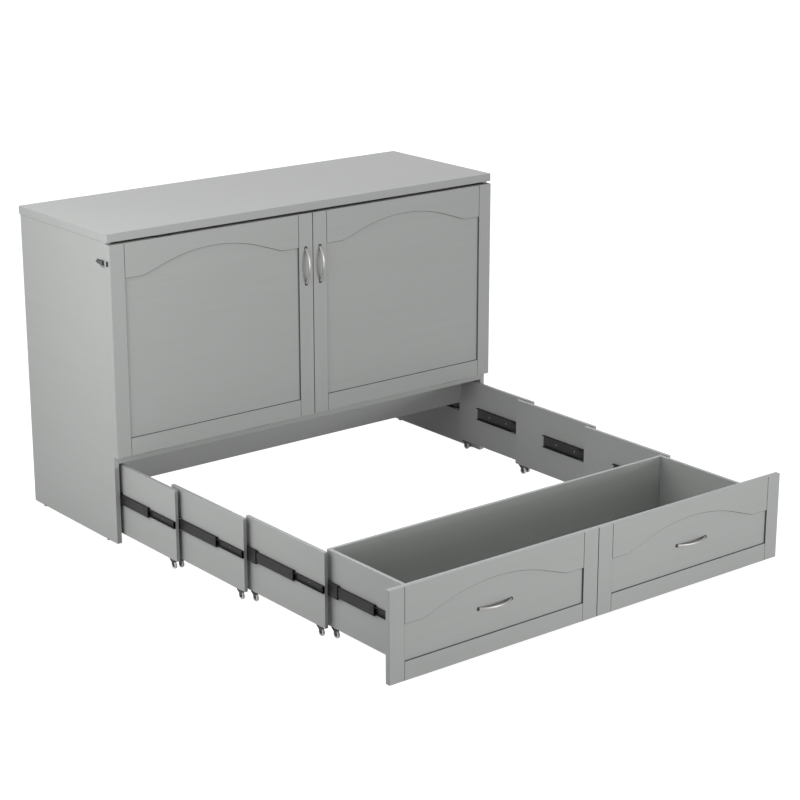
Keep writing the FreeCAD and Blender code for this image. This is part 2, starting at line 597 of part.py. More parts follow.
def latch_base():
    """Right-hand base plate with two ears and the lever's pin."""
    plate = box((HALF_WIDTH, LATCH_START, LATCH_HEIGHT - LATCH_WIDTH / 2),
                (HALF_WIDTH + LATCH_METAL, LATCH_START + LATCH_LENGTH, LATCH_HEIGHT + LATCH_WIDTH / 2))
    base = plate
    for low in (LATCH_HEIGHT + EAR_INNER, LATCH_HEIGHT - LATCH_WIDTH / 2):
        ear = box((HALF_WIDTH, LEVER_Y - LEVER_BARREL_RADIUS, low),
                  (LEVER_X, LEVER_Y + LEVER_BARREL_RADIUS, low + LATCH_METAL))
        tip = rod(LEVER_BARREL_RADIUS, (LEVER_X, LEVER_Y, low), (0, 0, 1), LATCH_METAL)
        base = base.fuse(ear).fuse(tip)
    pin = rod(LATCH_PIVOT_RADIUS, (LEVER_X, LEVER_Y, LATCH_HEIGHT - LATCH_WIDTH / 2), (0, 0, 1), LATCH_WIDTH)
    return base.fuse(pin).removeSplitter()


def latch_lever():
    """Right-hand lever: barrel on the pin, block that carries the bail, and a tapering tail."""
    low = LATCH_HEIGHT - LEVER_HALF
    width = 2 * LEVER_HALF
    barrel = rod(LEVER_BARREL_RADIUS, (LEVER_X, LEVER_Y, low), (0, 0, 1), width)
    block_half = 2.4 * BAIL_WIRE_RADIUS
    under = HALF_WIDTH + 2 * LATCH_METAL
    block = box((under, LEVER_Y, low), (BAIL_X + block_half, BAIL_Y + block_half, low + width))
    tail_end = LATCH_START + LATCH_LENGTH
    tail = polygon([(under, BAIL_Y, low), (under, tail_end, LATCH_HEIGHT - LEVER_HALF / 2),
                    (under, tail_end, LATCH_HEIGHT + LEVER_HALF / 2), (under, BAIL_Y, low + width)])
    lever = barrel.fuse(block).fuse(extrude(tail, Vector(LATCH_METAL, 0, 0)))
    for radius, x, y in ((LATCH_PIVOT_RADIUS, LEVER_X, LEVER_Y), (BAIL_WIRE_RADIUS, BAIL_X, BAIL_Y)):
        lever = lever.cut(rod(radius + RUNNING_CLEARANCE, (x, y, low - 1), (0, 0, 1), width + 2))
    return lever.removeSplitter()


def latch_bail():
    """Right-hand wire loop, drawn slack: pivot wire through the lever, two arms and a crossbar."""
    turn = math.radians(BAIL_SLACK_DEG)
    end_x = BAIL_X + BAIL_REACH * math.sin(turn)
    end_y = BAIL_Y - BAIL_REACH * math.cos(turn)
    width = 2 * BAIL_HALF_WIDTH
    low = LATCH_HEIGHT - BAIL_HALF_WIDTH
    loop = rod(BAIL_WIRE_RADIUS, (BAIL_X, BAIL_Y, low), (0, 0, 1), width)
    loop = loop.fuse(rod(BAIL_WIRE_RADIUS, (end_x, end_y, low), (0, 0, 1), width))
    for z in (low, low + width):
        arm = rod(BAIL_WIRE_RADIUS, (BAIL_X, BAIL_Y, z), (end_x - BAIL_X, end_y - BAIL_Y, 0), BAIL_REACH)
        loop = loop.fuse(arm)
        for corner in ((BAIL_X, BAIL_Y), (end_x, end_y)):
            loop = loop.fuse(Part.makeSphere(BAIL_WIRE_RADIUS, Vector(corner[0], corner[1], z)))
    return loop.removeSplitter()


def latch_keeper():
    """Right-hand keeper on the edge of the front: plate and a lip for the bail."""
    front = FRONT_FACE + KEEPER_BEHIND_FACE
    half = LATCH_WIDTH / 2
    plate = box((HALF_WIDTH, front, LATCH_HEIGHT - half),
                (HALF_WIDTH + LATCH_METAL, front + KEEPER_LENGTH, LATCH_HEIGHT + half))
    lip_back = front + KEEPER_LENGTH * 0.75
    lip = box((HALF_WIDTH, lip_back - LATCH_METAL, LATCH_HEIGHT - half),
              (HALF_WIDTH + KEEPER_LIP_HEIGHT, lip_back, LATCH_HEIGHT + half))
    return plate.fuse(lip).removeSplitter()


# ---------------------------------------------------------------- the whole bed
def build():
    """Make every node and write it."""
    os.makedirs("parts", exist_ok=True)

    # cabinet
    right_side = side_panel()
    export("right_side_panel", [right_side])
    export("left_side_panel", [mirrored(right_side)])
    export("top_panel", [top_panel()])
    hinges = [deck_hinge(x) for x in hinge_places(HINGE_COUNT, HINGE_SPREAD)]
    export("fixed_deck", [fixed_deck()])
    back_reach = SIDE_INNER + BACK_REBATE
    export("back_panel", [box((-back_reach, BACK_FRONT_FACE, DECK_UNDERSIDE),
                              (back_reach, CABINET_DEPTH, TOP_UNDERSIDE))])
    stretcher_low = (-SIDE_INNER, CABINET_DEPTH - STRETCHER_THICKNESS, DECK_UNDERSIDE - STRETCHER_HEIGHT)
    export("rear_stretcher", [box(stretcher_low, (SIDE_INNER, CABINET_DEPTH, DECK_UNDERSIDE))])
    export("floor_glides", floor_glides())
    export("latch_bases", pair(latch_base()))

    # fold-down front
    core = box((-HALF_WIDTH, FRONT_FIELD, FRONT_BOTTOM), (HALF_WIDTH, FRONT_BACK, FRONT_TOP))
    for hinge in hinges:
        core = core.cut(hinge[1])
    export("front_core", [core])
    stiles, arched, lower = framed_front(FRONT_FACE, FRONT_BOTTOM, FRONT_TOP,
                                         FRONT_SHOULDER_DROP, BOTTOM_RAIL_WIDTH)
    export("front_stiles", stiles)
    export("front_arched_rails", arched)
    export("front_bottom_rails", lower)
    handle_x = (CENTRE_STILE_WIDTH + CENTRE_SLOT / 2) / 2
    handle_middle = Vector(handle_x, FRONT_FACE, FRONT_HANDLE_HEIGHT)
    export("front_handles", pair(bow_handle(handle_middle, Vector(0, 0, 1))))
    export("front_hinge_deck_leaves", [hinge[0] for hinge in hinges])
    export("front_hinge_moving_leaves", [hinge[1] for hinge in hinges])
    leaf_reach = SIDE_INNER - LEAF_SIDE_GAP
    leaf_bottom = HINGE_Z + HINGE_BARREL_RADIUS + LEAF_BOTTOM_GAP
    leaf_face = FRONT_BACK + LEAF_FACE_GAP
    export("folding_deck_leaf", [box((-leaf_reach, leaf_face, leaf_bottom),
                                     (leaf_reach, leaf_face + LEAF_THICKNESS, FRONT_TOP - LEAF_TOP_DROP))])
    export("leaf_hinges", [leaf_hinge(x) for x in hinge_places(LEAF_HINGE_COUNT, LEAF_HINGE_SPREAD)])
    export("latch_keepers", pair(latch_keeper()))

    # latches
    for name, piece in (("latch_lever", latch_lever()), ("latch_bail", latch_bail())):
        export("right_" + name, [piece])
        export("left_" + name, [mirrored(piece)])

    # telescoping base
    for stage in range(SECTION_COUNT):
        section = "section_%d" % (stage + 1)
        panel = section_panel(stage)
        export("right_" + section + "_panel", [panel])
        export("left_" + section + "_panel", [mirrored(panel)])
    rail_back = WALL_FRONT[0] + SECTION_LENGTH
    rail_reach = WALL_OUTER[0] - SECTION_THICKNESS
    export("section_1_cross_rail", [box((-rail_reach, rail_back - CROSS_RAIL_THICKNESS, CROSS_RAIL_BOTTOM),
                                        (rail_reach, rail_back, SECTION_TOP))])

    # drawer
    side, rear, bottom = drawer_pieces()
    export("drawer_sides", pair(side))
    export("drawer_back", [rear])
    export("drawer_bottom", [bottom])
    export("drawer_front_core", [box((-HALF_WIDTH, DRAWER_FIELD, DRAWER_FRONT_BOTTOM),
                                     (HALF_WIDTH, WALL_FRONT[SECTION_COUNT], DRAWER_FRONT_TOP))])
    stiles, arched, lower = framed_front(DRAWER_FACE, DRAWER_FRONT_BOTTOM, DRAWER_FRONT_TOP,
                                         DRAWER_SHOULDER_DROP, DRAWER_RAIL_WIDTH)
    export("drawer_front_frame", stiles + lower)
    export("drawer_arched_rails", arched)
    field_middle = (CENTRE_STILE_WIDTH + HALF_WIDTH - OUTER_STILE_WIDTH) / 2
    handle_middle = Vector(field_middle, DRAWER_FIELD, DRAWER_HANDLE_HEIGHT)
    export("drawer_handles", pair(bow_handle(handle_middle, Vector(1, 0, 0))))

    # slides and casters, stage by stage
    for stage in range(SECTION_COUNT + 1):
        slide = "slide_%d" % (stage + 1)
        export(slide + "_outer_members", pair(slide_outer(stage)))
        rail, bumper = slide_middle(stage)
        export(slide + "_middle_members", pair(rail) + pair(bumper))
        export(slide + "_inner_members", pair(slide_inner(stage)))
        owner = "drawer" if stage == SECTION_COUNT else "section_%d" % (stage + 1)
        places = caster_places(stage)
        forks = []
        for x, y in places:
            forks += pair(caster_fork(x, y)) + pair(caster_axle(x, y))
        export(owner + "_caster_forks", forks)
        for end, (x, y) in zip(("front", "rear"), places):
            export(owner + "_" + end + "_wheels", pair(caster_wheel(x, y)))


build()
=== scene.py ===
import math

import bmesh
import bpy
import numpy as np
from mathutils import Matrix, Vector


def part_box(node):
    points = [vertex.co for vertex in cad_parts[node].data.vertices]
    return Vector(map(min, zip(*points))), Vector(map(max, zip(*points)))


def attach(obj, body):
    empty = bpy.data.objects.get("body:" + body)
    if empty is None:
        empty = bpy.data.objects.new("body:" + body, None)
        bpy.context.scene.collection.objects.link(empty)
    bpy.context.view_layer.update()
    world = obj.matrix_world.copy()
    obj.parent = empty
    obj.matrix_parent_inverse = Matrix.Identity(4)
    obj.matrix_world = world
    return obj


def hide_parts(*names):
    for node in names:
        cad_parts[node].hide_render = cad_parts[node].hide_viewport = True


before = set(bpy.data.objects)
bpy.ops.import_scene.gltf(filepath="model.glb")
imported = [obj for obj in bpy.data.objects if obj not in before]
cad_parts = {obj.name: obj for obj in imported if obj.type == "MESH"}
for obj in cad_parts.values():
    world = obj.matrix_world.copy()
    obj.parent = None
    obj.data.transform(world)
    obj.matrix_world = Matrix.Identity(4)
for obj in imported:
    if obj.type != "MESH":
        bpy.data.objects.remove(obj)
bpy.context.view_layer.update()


# ---------------------------------------------------------------- the room
# A white studio: a broad high lamp at the back right, a low lamp at the front right, a soft box in
# front and one at the left, and a white floor. The camera stands to the left of the foot end.
def plug(tree, node, inputs):
    """Sets each named or numbered input of a node to a value, or links it to another node's output."""
    for key, value in inputs.items():
        if isinstance(value, bpy.types.NodeSocket):
            tree.links.new(value, node.inputs[key])
        else:
            node.inputs[key].default_value = value


def add(tree, kind, inputs, operation=None):
    """New shader node with its inputs plugged in."""
    node = tree.nodes.new("ShaderNode" + kind)
    if operation:
        node.operation = operation
    plug(tree, node, inputs)
    return node


def seen_directly(tree):
    """One for rays that come from the camera, or by way of metal or glass, and nought for all others."""
    path = tree.nodes.new("ShaderNodeLightPath")
    total = path.outputs["Is Camera Ray"]
    for kind in ("Is Glossy Ray", "Is Transmission Ray"):
        either = add(tree, "Math", {0: total, 1: path.outputs[kind]}, "ADD")
        either.use_clamp = True
        total = either.outputs[0]
    return total


scene = bpy.context.scene
looking_down, heading = 17.19, 38.53
camera_data = bpy.data.cameras.new("photo camera")
camera_data.sensor_width = 36.0
camera_data.lens = 96.136
camera_data.clip_end = 60.0
camera = bpy.data.objects.new("photo camera", camera_data)
camera.location = (-4.2708, -5.40265, 2.6023)
camera.rotation_euler = (math.radians(90.0 - looking_down), 0.0, math.radians(-heading))
scene.collection.objects.link(camera)
scene.camera = camera
scene.view_settings.view_transform = "Standard"

light_on_bed, white_behind = 0.205, 1.0
world = bpy.data.worlds.new("studio")
scene.world = world
world.use_nodes = True
tree = world.node_tree
tree.nodes.clear()
lit, seen = [add(tree, "Background", {"Color": (1.0, 1.0, 1.0, 1.0), "Strength": strength})
             for strength in (light_on_bed, white_behind)]
mix = add(tree, "MixShader", {0: seen_directly(tree), 1: lit.outputs[0], 2: seen.outputs[0]})
add(tree, "OutputWorld", {"Surface": mix.outputs[0]})

for name, towards, strength, spread in (("high lamp", (0.32, 0.56, 0.77), 1.53, 40.0),
                                        ("low front lamp", (0.50, -0.86, 0.05), 0.93, 12.0)):
    lamp_data = bpy.data.lights.new(name, "SUN")
    lamp_data.energy = strength
    lamp_data.angle = math.radians(spread)
    lamp = bpy.data.objects.new(name, lamp_data)
    lamp.rotation_euler = Vector(towards).to_track_quat("Z", "Y").to_euler()
    scene.collection.objects.link(lamp)
for name, place, aim, power, size in (
        ("front soft box", (0.4, -3.6, 0.6), (0.0, 0.0, 0.4), 25.0, 1.2),
        ("left soft box", (-2.2, 0.2, 1.3), (-0.8, 0.3, 0.6), 29.0, 2.0)):
    box_data = bpy.data.lights.new(name, "AREA")
    box_data.energy = power
    box_data.size = size
    soft_box = bpy.data.objects.new(name, box_data)
    soft_box.location = place
    soft_box.rotation_euler = (Vector(place) - Vector(aim)).to_track_quat("Z", "Y").to_euler()
    soft_box.visible_camera = False
    scene.collection.objects.link(soft_box)

floor_reach, floor_white, floor_bounce = 30.0, 0.97, 0.30
floor_mesh = bpy.data.meshes.new("studio floor")
floor_mesh.from_pydata([(-floor_reach, -floor_reach, 0), (floor_reach, -floor_reach, 0),
                        (floor_reach, floor_reach, 0), (-floor_reach, floor_reach, 0)], [], [(0, 1, 2, 3)])
floor = bpy.data.objects.new("studio_floor", floor_mesh)
scene.collection.objects.link(floor)
floor_paint = bpy.data.materials.new("studio floor")
floor_paint.use_nodes = True
tree = floor_paint.node_tree
tree.nodes.clear()
dimmed = add(tree, "Math", {0: seen_directly(tree), 1: floor_white}, "MULTIPLY")
glow = add(tree, "Emission", {"Strength": dimmed.outputs[0]})
matt = add(tree, "BsdfDiffuse", {"Color": (floor_bounce, floor_bounce, floor_bounce, 1.0)})
total = add(tree, "AddShader", {0: glow.outputs[0], 1: matt.outputs[0]})
add(tree, "OutputMaterial", {"Surface": total.outputs[0]})
floor_mesh.materials.append(floor_paint)


# ---------------------------------------------------------------- side panels of the cabinet
# Upright 18 mm boards pressed from wood chips and wrapped in a grey wood-grain film, rebated
# inside at the back for the thin back panel. Hidden fittings hold them to the top and the deck.
def board_film(name, along, shade=0.46):
    """Grey film: base shade x broad cloudy tone x soft bands x fine streaks drawn out along one axis."""
    paint = bpy.data.materials.new(name)
    paint.use_nodes = True
    tree = paint.node_tree
    where = tree.nodes.new("ShaderNodeTexCoord").outputs["Object"]

    def noise(scale, stretch, detail, rough):
        """Noise of the given scale, drawn out along the grain by stretch."""
        size = [scale] * 3
        size[along] = scale / stretch
        placed = add(tree, "Mapping", {"Vector": where, "Scale": size}).outputs[0]
        grain = {"Vector": placed, "Scale": 1.0, "Detail": detail, "Roughness": rough}
        return add(tree, "TexNoise", grain).outputs["Fac"]

    def weighed(value, low, high):
        """The noise's usual range, 0.3 to 0.7, spread from low to high."""
        spread = {"Value": value, "From Min": 0.3, "From Max": 0.7, "To Min": low, "To Max": high}
        return add(tree, "MapRange", spread).outputs[0]

    def product(a, b):
        """The two values multiplied."""
        return add(tree, "Math", {0: a, 1: b}, "MULTIPLY").outputs[0]

    streaks = noise(260.0, 60.0, 5.0, 0.6)
    bands = noise(38.0, 24.0, 3.0, 0.55)
    clouds = noise(3.0, 2.5, 2.0, 0.5)
    tone = product(weighed(streaks, 0.98, 1.02), weighed(bands, 0.988, 1.012))
    tone = product(tone, weighed(clouds, 0.99, 1.01))
    tint = add(tree, "CombineColor", {channel: product(tone, shade * level) for channel, level in
                                      (("Red", 0.985), ("Green", 1.01), ("Blue", 0.99))})
    relief = add(tree, "Bump", {"Strength": 0.25, "Distance": 0.0003, "Height": streaks})
    plug(tree, tree.nodes["Principled BSDF"],
         {"Base Color": tint.outputs[0], "Roughness": weighed(streaks, 0.46, 0.58),
          "Specular IOR Level": 0.35, "Normal": relief.outputs[0]})
    return paint


def eased_corners(points, radius, steps=3):
    """Closed outline with rounded corners, and its inward normals.

    At a corner the inward normal turns from the first edge's to the second edge's. The arc's centre
    is the corner plus radius times the mitre vector, inside for a corner that turns left and outside
    for one that turns right, and the arc is the centre minus radius times the normal. The outline
    runs anticlockwise. Corners that turn less than 20 degrees keep their point. radius is one value
    or one for each corner.
    """
    slight_turn = math.radians(20)
    corner = np.asarray(points, float)
    ahead = np.roll(corner, -1, 0) - corner
    ahead /= np.linalg.norm(ahead, axis=1, keepdims=True)
    normal_out = np.stack([-ahead[:, 1], ahead[:, 0]], 1)
    normal_in = np.roll(normal_out, 1, 0)
    turn = np.arctan2(normal_in[:, 0] * normal_out[:, 1] - normal_in[:, 1] * normal_out[:, 0],
                      (normal_in * normal_out).sum(1))
    mitre = (normal_in + normal_out) / (1.0 + np.cos(turn))[:, None]
    bend = np.where(np.abs(turn) > slight_turn, np.sign(turn) * radius, 0.0)
    angle = turn[:, None] * np.linspace(0, 1, steps + 1)[None]
    cosine, sine = np.cos(angle), np.sin(angle)
    normal = np.stack([normal_in[:, None, 0] * cosine - normal_in[:, None, 1] * sine,
                       normal_in[:, None, 0] * sine + normal_in[:, None, 1] * cosine], 2)
    centre = corner + bend[:, None] * mitre
    arc = centre[:, None] - bend[:, None, None] * normal
    plain = bend == 0.0
    arc[plain] = corner[plain][:, None]
    normal[plain] = mitre[plain][:, None]
    return arc.reshape(-1, 2), normal.reshape(-1, 2)


def walls(rings, closed=False):
    """Points and faces over a grid of rings: quads between neighbours, and flat ends unless it closes."""
    rows, columns, _ = rings.shape
    index = np.arange(rows * columns).reshape(rows, columns)
    if closed:
        index = np.vstack([index, index[:1]])
    quads = np.stack([index[:-1], np.roll(index[:-1], -1, 1), np.roll(index[1:], -1, 1), index[1:]], 2)
    faces = quads.reshape(-1, 4).tolist()
    if not closed:
        faces += [index[0, ::-1].tolist(), index[-1].tolist()]
    return rings.reshape(-1, 3), faces


def both_sides(parts):
    """The parts of the right side, and their copies on the left side with X turned round."""
    return parts + [(points * (-1.0, 1.0, 1.0), faces) for points, faces in parts]


def one_mesh(name, parts):
    """Mesh of several parts with doubles merged and faces turned outwards."""
    all_points, all_faces, start = [], [], 0
    for points, faces in parts:
        all_points.append(points)
        all_faces += [[corner + start for corner in face] for face in faces]
        start += len(points)
    mesh = bpy.data.meshes.new(name)
    mesh.from_pydata(np.concatenate(all_points).tolist(), [], all_faces)
    work = bmesh.new()
    work.from_mesh(mesh)
    bmesh.ops.remove_doubles(work, verts=work.verts, dist=2e-7)
    bmesh.ops.dissolve_degenerate(work, edges=work.edges, dist=1e-8)
    bmesh.ops.recalc_face_normals(work, faces=work.faces)
    work.to_mesh(mesh)
    work.free()
    return mesh


def fit(name, parts, paint, body, replaced=(), drill=()):
    """One piece of the bed from its parts, drilled if asked, shaded smooth except over sharp edges."""
    piece = bpy.data.objects.new(name.replace(" ", "_"), one_mesh(name, parts))
    scene.collection.objects.link(piece)
    if drill:
        bits = bpy.data.objects.new("bits", one_mesh("bits", drill))
        scene.collection.objects.link(bits)
        cut = piece.modifiers.new("holes", "BOOLEAN")
        cut.object = bits
        cut.solver = "EXACT"
        shaped = piece.evaluated_get(bpy.context.evaluated_depsgraph_get())
        piece.data = bpy.data.meshes.new_from_object(shaped)
        piece.modifiers.clear()
        bpy.data.objects.remove(bits)
        piece.data.name = name
        piece.data.materials.clear()
    piece.data.shade_smooth()
    piece.data.set_sharp_from_angle(angle=math.radians(40))
    weigh = piece.modifiers.new("flat faces stay flat", "WEIGHTED_NORMAL")
    weigh.mode = "FACE_AREA"
    weigh.keep_sharp = True
    piece.data.materials.append(paint)
    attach(piece, body)
    if replaced:
        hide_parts(*replaced)
    return piece


def prism(outline, normal, axis, start, end, ease, steps=3):
    """Rings of an extruded outline with eased ends.

    Near each end the outline is drawn in by ease x (1 - sin t) at ease x (1 - cos t) from that end,
    t from 0 to 90 degrees. The outline's two columns are the two axes after axis, in turn.
    """
    t = np.linspace(0, math.pi / 2, steps + 1)
    inset = ease * (1 - np.sin(t))
    depth = ease * (1 - np.cos(t))
    inset = np.concatenate([inset, inset[::-1]])
    place = np.concatenate([start + depth, end - depth[::-1]])
    flat = outline[None] + inset[:, None, None] * normal[None]
    rings = np.empty(flat.shape[:2] + (3,))
    rings[..., (axis + 1) % 3] = flat[..., 0]
    rings[..., (axis + 2) % 3] = flat[..., 1]
    rings[..., axis] = place[:, None]
    return rings


def cut_out(points, axis, start, end, radius, ease, steps=3):
    """Sheet or board part of any outline: rounded corners, extruded along an axis, with eased edges."""
    points, radius = np.asarray(points, float), np.broadcast_to(radius, len(points))
    ahead = np.roll(points, -1, 0)
    if np.sum(points[:, 0] * ahead[:, 1] - ahead[:, 0] * points[:, 1]) < 0:
        points, radius = points[::-1], radius[::-1]
    outline, normal = eased_corners(points, radius, steps)
    rings_at_edge = 2 if ease < 0.0005 else 3
    return walls(prism(outline, normal, axis, start, end, ease, rings_at_edge))


def board(low, high, ease):
    """Rectangular board: the rectangle across its thinnest axis, extruded along that axis."""
    low, high = np.array(low), np.array(high)
    axis = int(np.argmin(high - low))
    u, v = (axis + 1) % 3, (axis + 2) % 3
    corners = [(low[u], low[v]), (high[u], low[v]), (high[u], high[v]), (low[u], high[v])]
    return cut_out(corners, axis, low[axis], high[axis], ease, ease)


grain_y = board_film("grey film, grain front to back", 1)
grain_x = board_film("grey film, grain across", 0)
grain_z = board_film("grey film, grain upright", 2)

outer_edge = 0.0012
back_low, back_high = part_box("back_panel")
deck_low, deck_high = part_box("fixed_deck")
for side, sign in (("left", -1.0), ("right", 1.0)):
    low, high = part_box(side + "_side_panel")
    outer = sign * max(abs(low.x), abs(high.x))
    inner = sign * min(abs(low.x), abs(high.x))
    rebate = sign * back_high.x
    plan = [(outer, low.y), (outer, high.y), (rebate, high.y),
            (rebate, back_low.y), (inner, back_low.y), (inner, low.y)]
    # the rebate stops at the underside of the deck, below which the board is whole
    fill_low = (min(inner, rebate), back_low.y - outer_edge / 2, low.z + outer_edge)
    fill_high = (max(inner, rebate), back_high.y, deck_low.z)
    fit(side + " side board", [cut_out(plan, 2, low.z, high.z, outer_edge, outer_edge),
                               board(fill_low, fill_high, outer_edge / 2)],
        grain_y, "cabinet", [side + "_side_panel"])


# ---------------------------------------------------------------- top slab
# A 28 mm board that overhangs the sides and the front a little. Its upper edges are rounded
# more than the lower ones, and the film runs over them.
def slab(low, high, corner, upper, lower, steps=6):
    """Board stacked along Z, drawn in at its foot by the lower radius and at its top by the upper one."""
    corners = [(low.x, low.y), (high.x, low.y), (high.x, high.y), (low.x, high.y)]
    outline, normal = eased_corners(corners, corner, 5)
    t = np.linspace(0, math.pi / 2, steps + 1)
    inset = np.concatenate([lower * (1 - np.sin(t)), upper * (1 - np.sin(t))[::-1]])
    height = np.concatenate([low.z + lower * (1 - np.cos(t)), high.z - upper * (1 - np.cos(t))[::-1]])
    flat = outline[None] + inset[:, None, None] * normal[None]
    return walls(np.concatenate([flat, np.broadcast_to(height[:, None, None], flat.shape[:2] + (1,))], 2))


top = slab(*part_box("top_panel"), corner=0.0035, upper=0.002, lower=outer_edge)
fit("top slab", [top], grain_x, "cabinet", ["top_panel"])


# ---------------------------------------------------------------- deck
# The board that carries the head of the mattress. Its front edge is pocketed 1.5 mm deep so that
# the four hinge leaves lie flush with it.
hinge_half, leaf_metal, hinge_radius, hinge_spread = 0.038, 0.0015, 0.004, 0.650
hinge_x = [hinge_spread * share for share in (-1, -1 / 3, 1 / 3, 1)]
leaf_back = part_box("front_hinge_deck_leaves")[1].y
plain_edge, pocket_edge, layer_overlap = 0.0008, 0.0003, 0.001


def pocketed(low, high, reach):
    """Outline of a board's outer layer, (X, edge) pairs, with a square pocket up to reach at every hinge."""
    outline = [(low[0], high[1]), (low[0], low[1])]
    for x in hinge_x:
        outline += [(x - hinge_half, low[1]), (x - hinge_half, reach)]
        outline += [(x + hinge_half, reach), (x + hinge_half, low[1])]
    return outline + [(high[0], low[1]), (high[0], high[1])]


layer = pocketed((deck_low.x, deck_low.y), (deck_high.x, deck_high.y), leaf_back)
floor_of_pocket = deck_high.z - leaf_metal
fit("deck board", [board(deck_low, (deck_high.x, deck_high.y, floor_of_pocket), plain_edge),
                   cut_out(layer, 2, floor_of_pocket - layer_overlap, deck_high.z, pocket_edge, pocket_edge)],
    grain_x, "cabinet", ["fixed_deck"])


# ---------------------------------------------------------------- stretcher and back panel
# The stretcher ties the sides together under the deck. The thin back panel lies in the rebates
# and is held by a row of small nails on every side.
fit("stretcher board", [board(*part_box("rear_stretcher"), plain_edge)], grain_x, "cabinet",
    ["rear_stretcher"])
nail_rise = 0.0005
fit("back board", [board(back_low, (back_high.x, back_high.y - nail_rise, back_high.z), plain_edge)],
    grain_x, "cabinet", ["back_panel"])


def plain_finish(name, colour, metallic, roughness, mottle=0.06, scale=400.0, relief_depth=0.00005,
                 shine=0.5):
    """One colour broken up by fine noise in its brightness and roughness, with a faint matching relief."""
    paint = bpy.data.materials.new(name)
    paint.use_nodes = True
    tree = paint.node_tree
    where = tree.nodes.new("ShaderNodeTexCoord").outputs["Object"]
    grain = add(tree, "TexNoise", {"Vector": where, "Scale": scale, "Detail": 4.0}).outputs["Fac"]
    darker = tuple(c * (1 - mottle) for c in colour) + (1.0,)
    lighter = tuple(min(1.0, c * (1 + mottle)) for c in colour) + (1.0,)
    blend = add(tree, "MixRGB", {0: grain, 1: darker, 2: lighter})
    spread = add(tree, "MapRange", {"Value": grain, "To Min": roughness * 0.85, "To Max": roughness * 1.15})
    relief = add(tree, "Bump", {"Strength": 0.3, "Distance": relief_depth, "Height": grain})
    plug(tree, tree.nodes["Principled BSDF"],
         {"Base Color": blend.outputs[0], "Metallic": metallic, "Roughness": spread.outputs[0],
          "Specular IOR Level": shine, "Normal": relief.outputs[0]})
    return paint


def turned(profile, centre, axis, count=40, closed=False):
    """Turned part: (distance along the axis, radius) pairs swept once round the axis."""
    profile = np.asarray(profile, float)
    angle = np.linspace(0, 2 * math.pi, count, endpoint=False)
    u, v = (axis + 1) % 3, (axis + 2) % 3
    rings = np.empty((len(profile), count, 3))
    rings[..., axis] = centre[axis] + profile[:, :1]
    rings[..., u] = centre[u] + profile[:, 1:] * np.cos(angle)
    rings[..., v] = centre[v] + profile[:, 1:] * np.sin(angle)
    return walls(rings, closed)


steel = plain_finish("zinc-plated steel", (0.58, 0.58, 0.57), 1.0, 0.38, 0.08, 500.0)
nail_head = [(-0.0015, 0.0008), (-nail_rise, 0.0024), (-nail_rise * 0.3, 0.0022),
             (0.0, 0.0010), (0.0, 0.0001)]
from_side, from_end = 0.005, 0.008
nail_x = np.linspace(back_low.x + from_side, back_high.x - from_side, 13)
nail_z = np.linspace(back_low.z + from_end, back_high.z - from_end, 7)
places = [(x, z) for x in nail_x for z in (nail_z[0], nail_z[-1])]
places += [(x, z) for z in nail_z[1:-1] for x in (nail_x[0], nail_x[-1])]
fit("back nails", [turned(nail_head, (x, back_high.y, z), 1, 12) for x, z in places],
    steel, "cabinet")


# ---------------------------------------------------------------- floor glides
# Round nail-on glides of dark plastic, slightly domed, one under each end of both side panels.
glide_black = plain_finish("glide plastic", (0.035, 0.035, 0.037), 0.0, 0.55)
low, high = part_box("floor_glides")
radius = 0.009
dome = [(0.0, radius * 0.62), (0.0004, radius * 0.82), (0.0016, radius * 0.97),
        (0.003, radius), (0.005, radius)]
fit("floor glides", [turned(dome, (sign * (high.x - radius), y, 0.0), 2)
                     for sign in (-1, 1) for y in (low.y + radius, high.y - radius)],
    glide_black, "cabinet", ["floor_glides"])


# ---------------------------------------------------------------- fold-down front
# One board framed with applied stiles and rails to look like a pair of doors. The top rails are sawn to a
# bell-shaped arch. The sawn faces inside the frame that turn sideways, up or down (the recess walls, the arch
# edges and the joint lines) get a dark colour: painted shade for the shadow that falls in these recesses and
# joints.
core_low, core_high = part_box("front_core")
front_leaf_top = core_low.z + 0.030
layer_start = core_high.y - leaf_metal
layer = pocketed((core_low.x, core_low.z), (core_high.x, core_high.z), front_leaf_top)
fit("front board", [board(core_low, (core_high.x, layer_start, core_high.z), plain_edge),
                    cut_out([(z, x) for x, z in layer], 1, layer_start - layer_overlap, core_high.y,
                            pocket_edge, pocket_edge)],
    grain_x, "front", ["front_core"])
# the dark colour of the sawn faces inside the frames is painted shade for their recesses and joints
painted_shade_edge = plain_finish("sawn board edge", (0.10, 0.10, 0.10), 0.0, 0.75, 0.2, 700.0, 0.0002)


def paint_frame_shade(piece, low, high):
    """Gives a dark colour, painted shade, to the sawn faces inside the frame, for the shadow in its recesses
    and joints.

    These are the faces whose middle is more than the margin inside the outline, both across and in
    height, and that don't look straight ahead or back: the size of their normal's Y is under 0.98.
    """
    margin, straight_ahead = 0.0015, 0.98
    mesh = piece.data
    mesh.materials.append(painted_shade_edge)
    centre, facing = np.empty(len(mesh.polygons) * 3), np.empty(len(mesh.polygons) * 3)
    mesh.polygons.foreach_get("center", centre)
    mesh.polygons.foreach_get("normal", facing)
    centre, facing = centre.reshape(-1, 3), facing.reshape(-1, 3)
    inside = (centre > np.array(low) + margin) & (centre < np.array(high) - margin)
    shaded_faces = inside[:, 0] & inside[:, 2] & (np.abs(facing[:, 1]) < straight_ahead)
    mesh.polygons.foreach_set("material_index", shaded_faces.astype(np.int32))


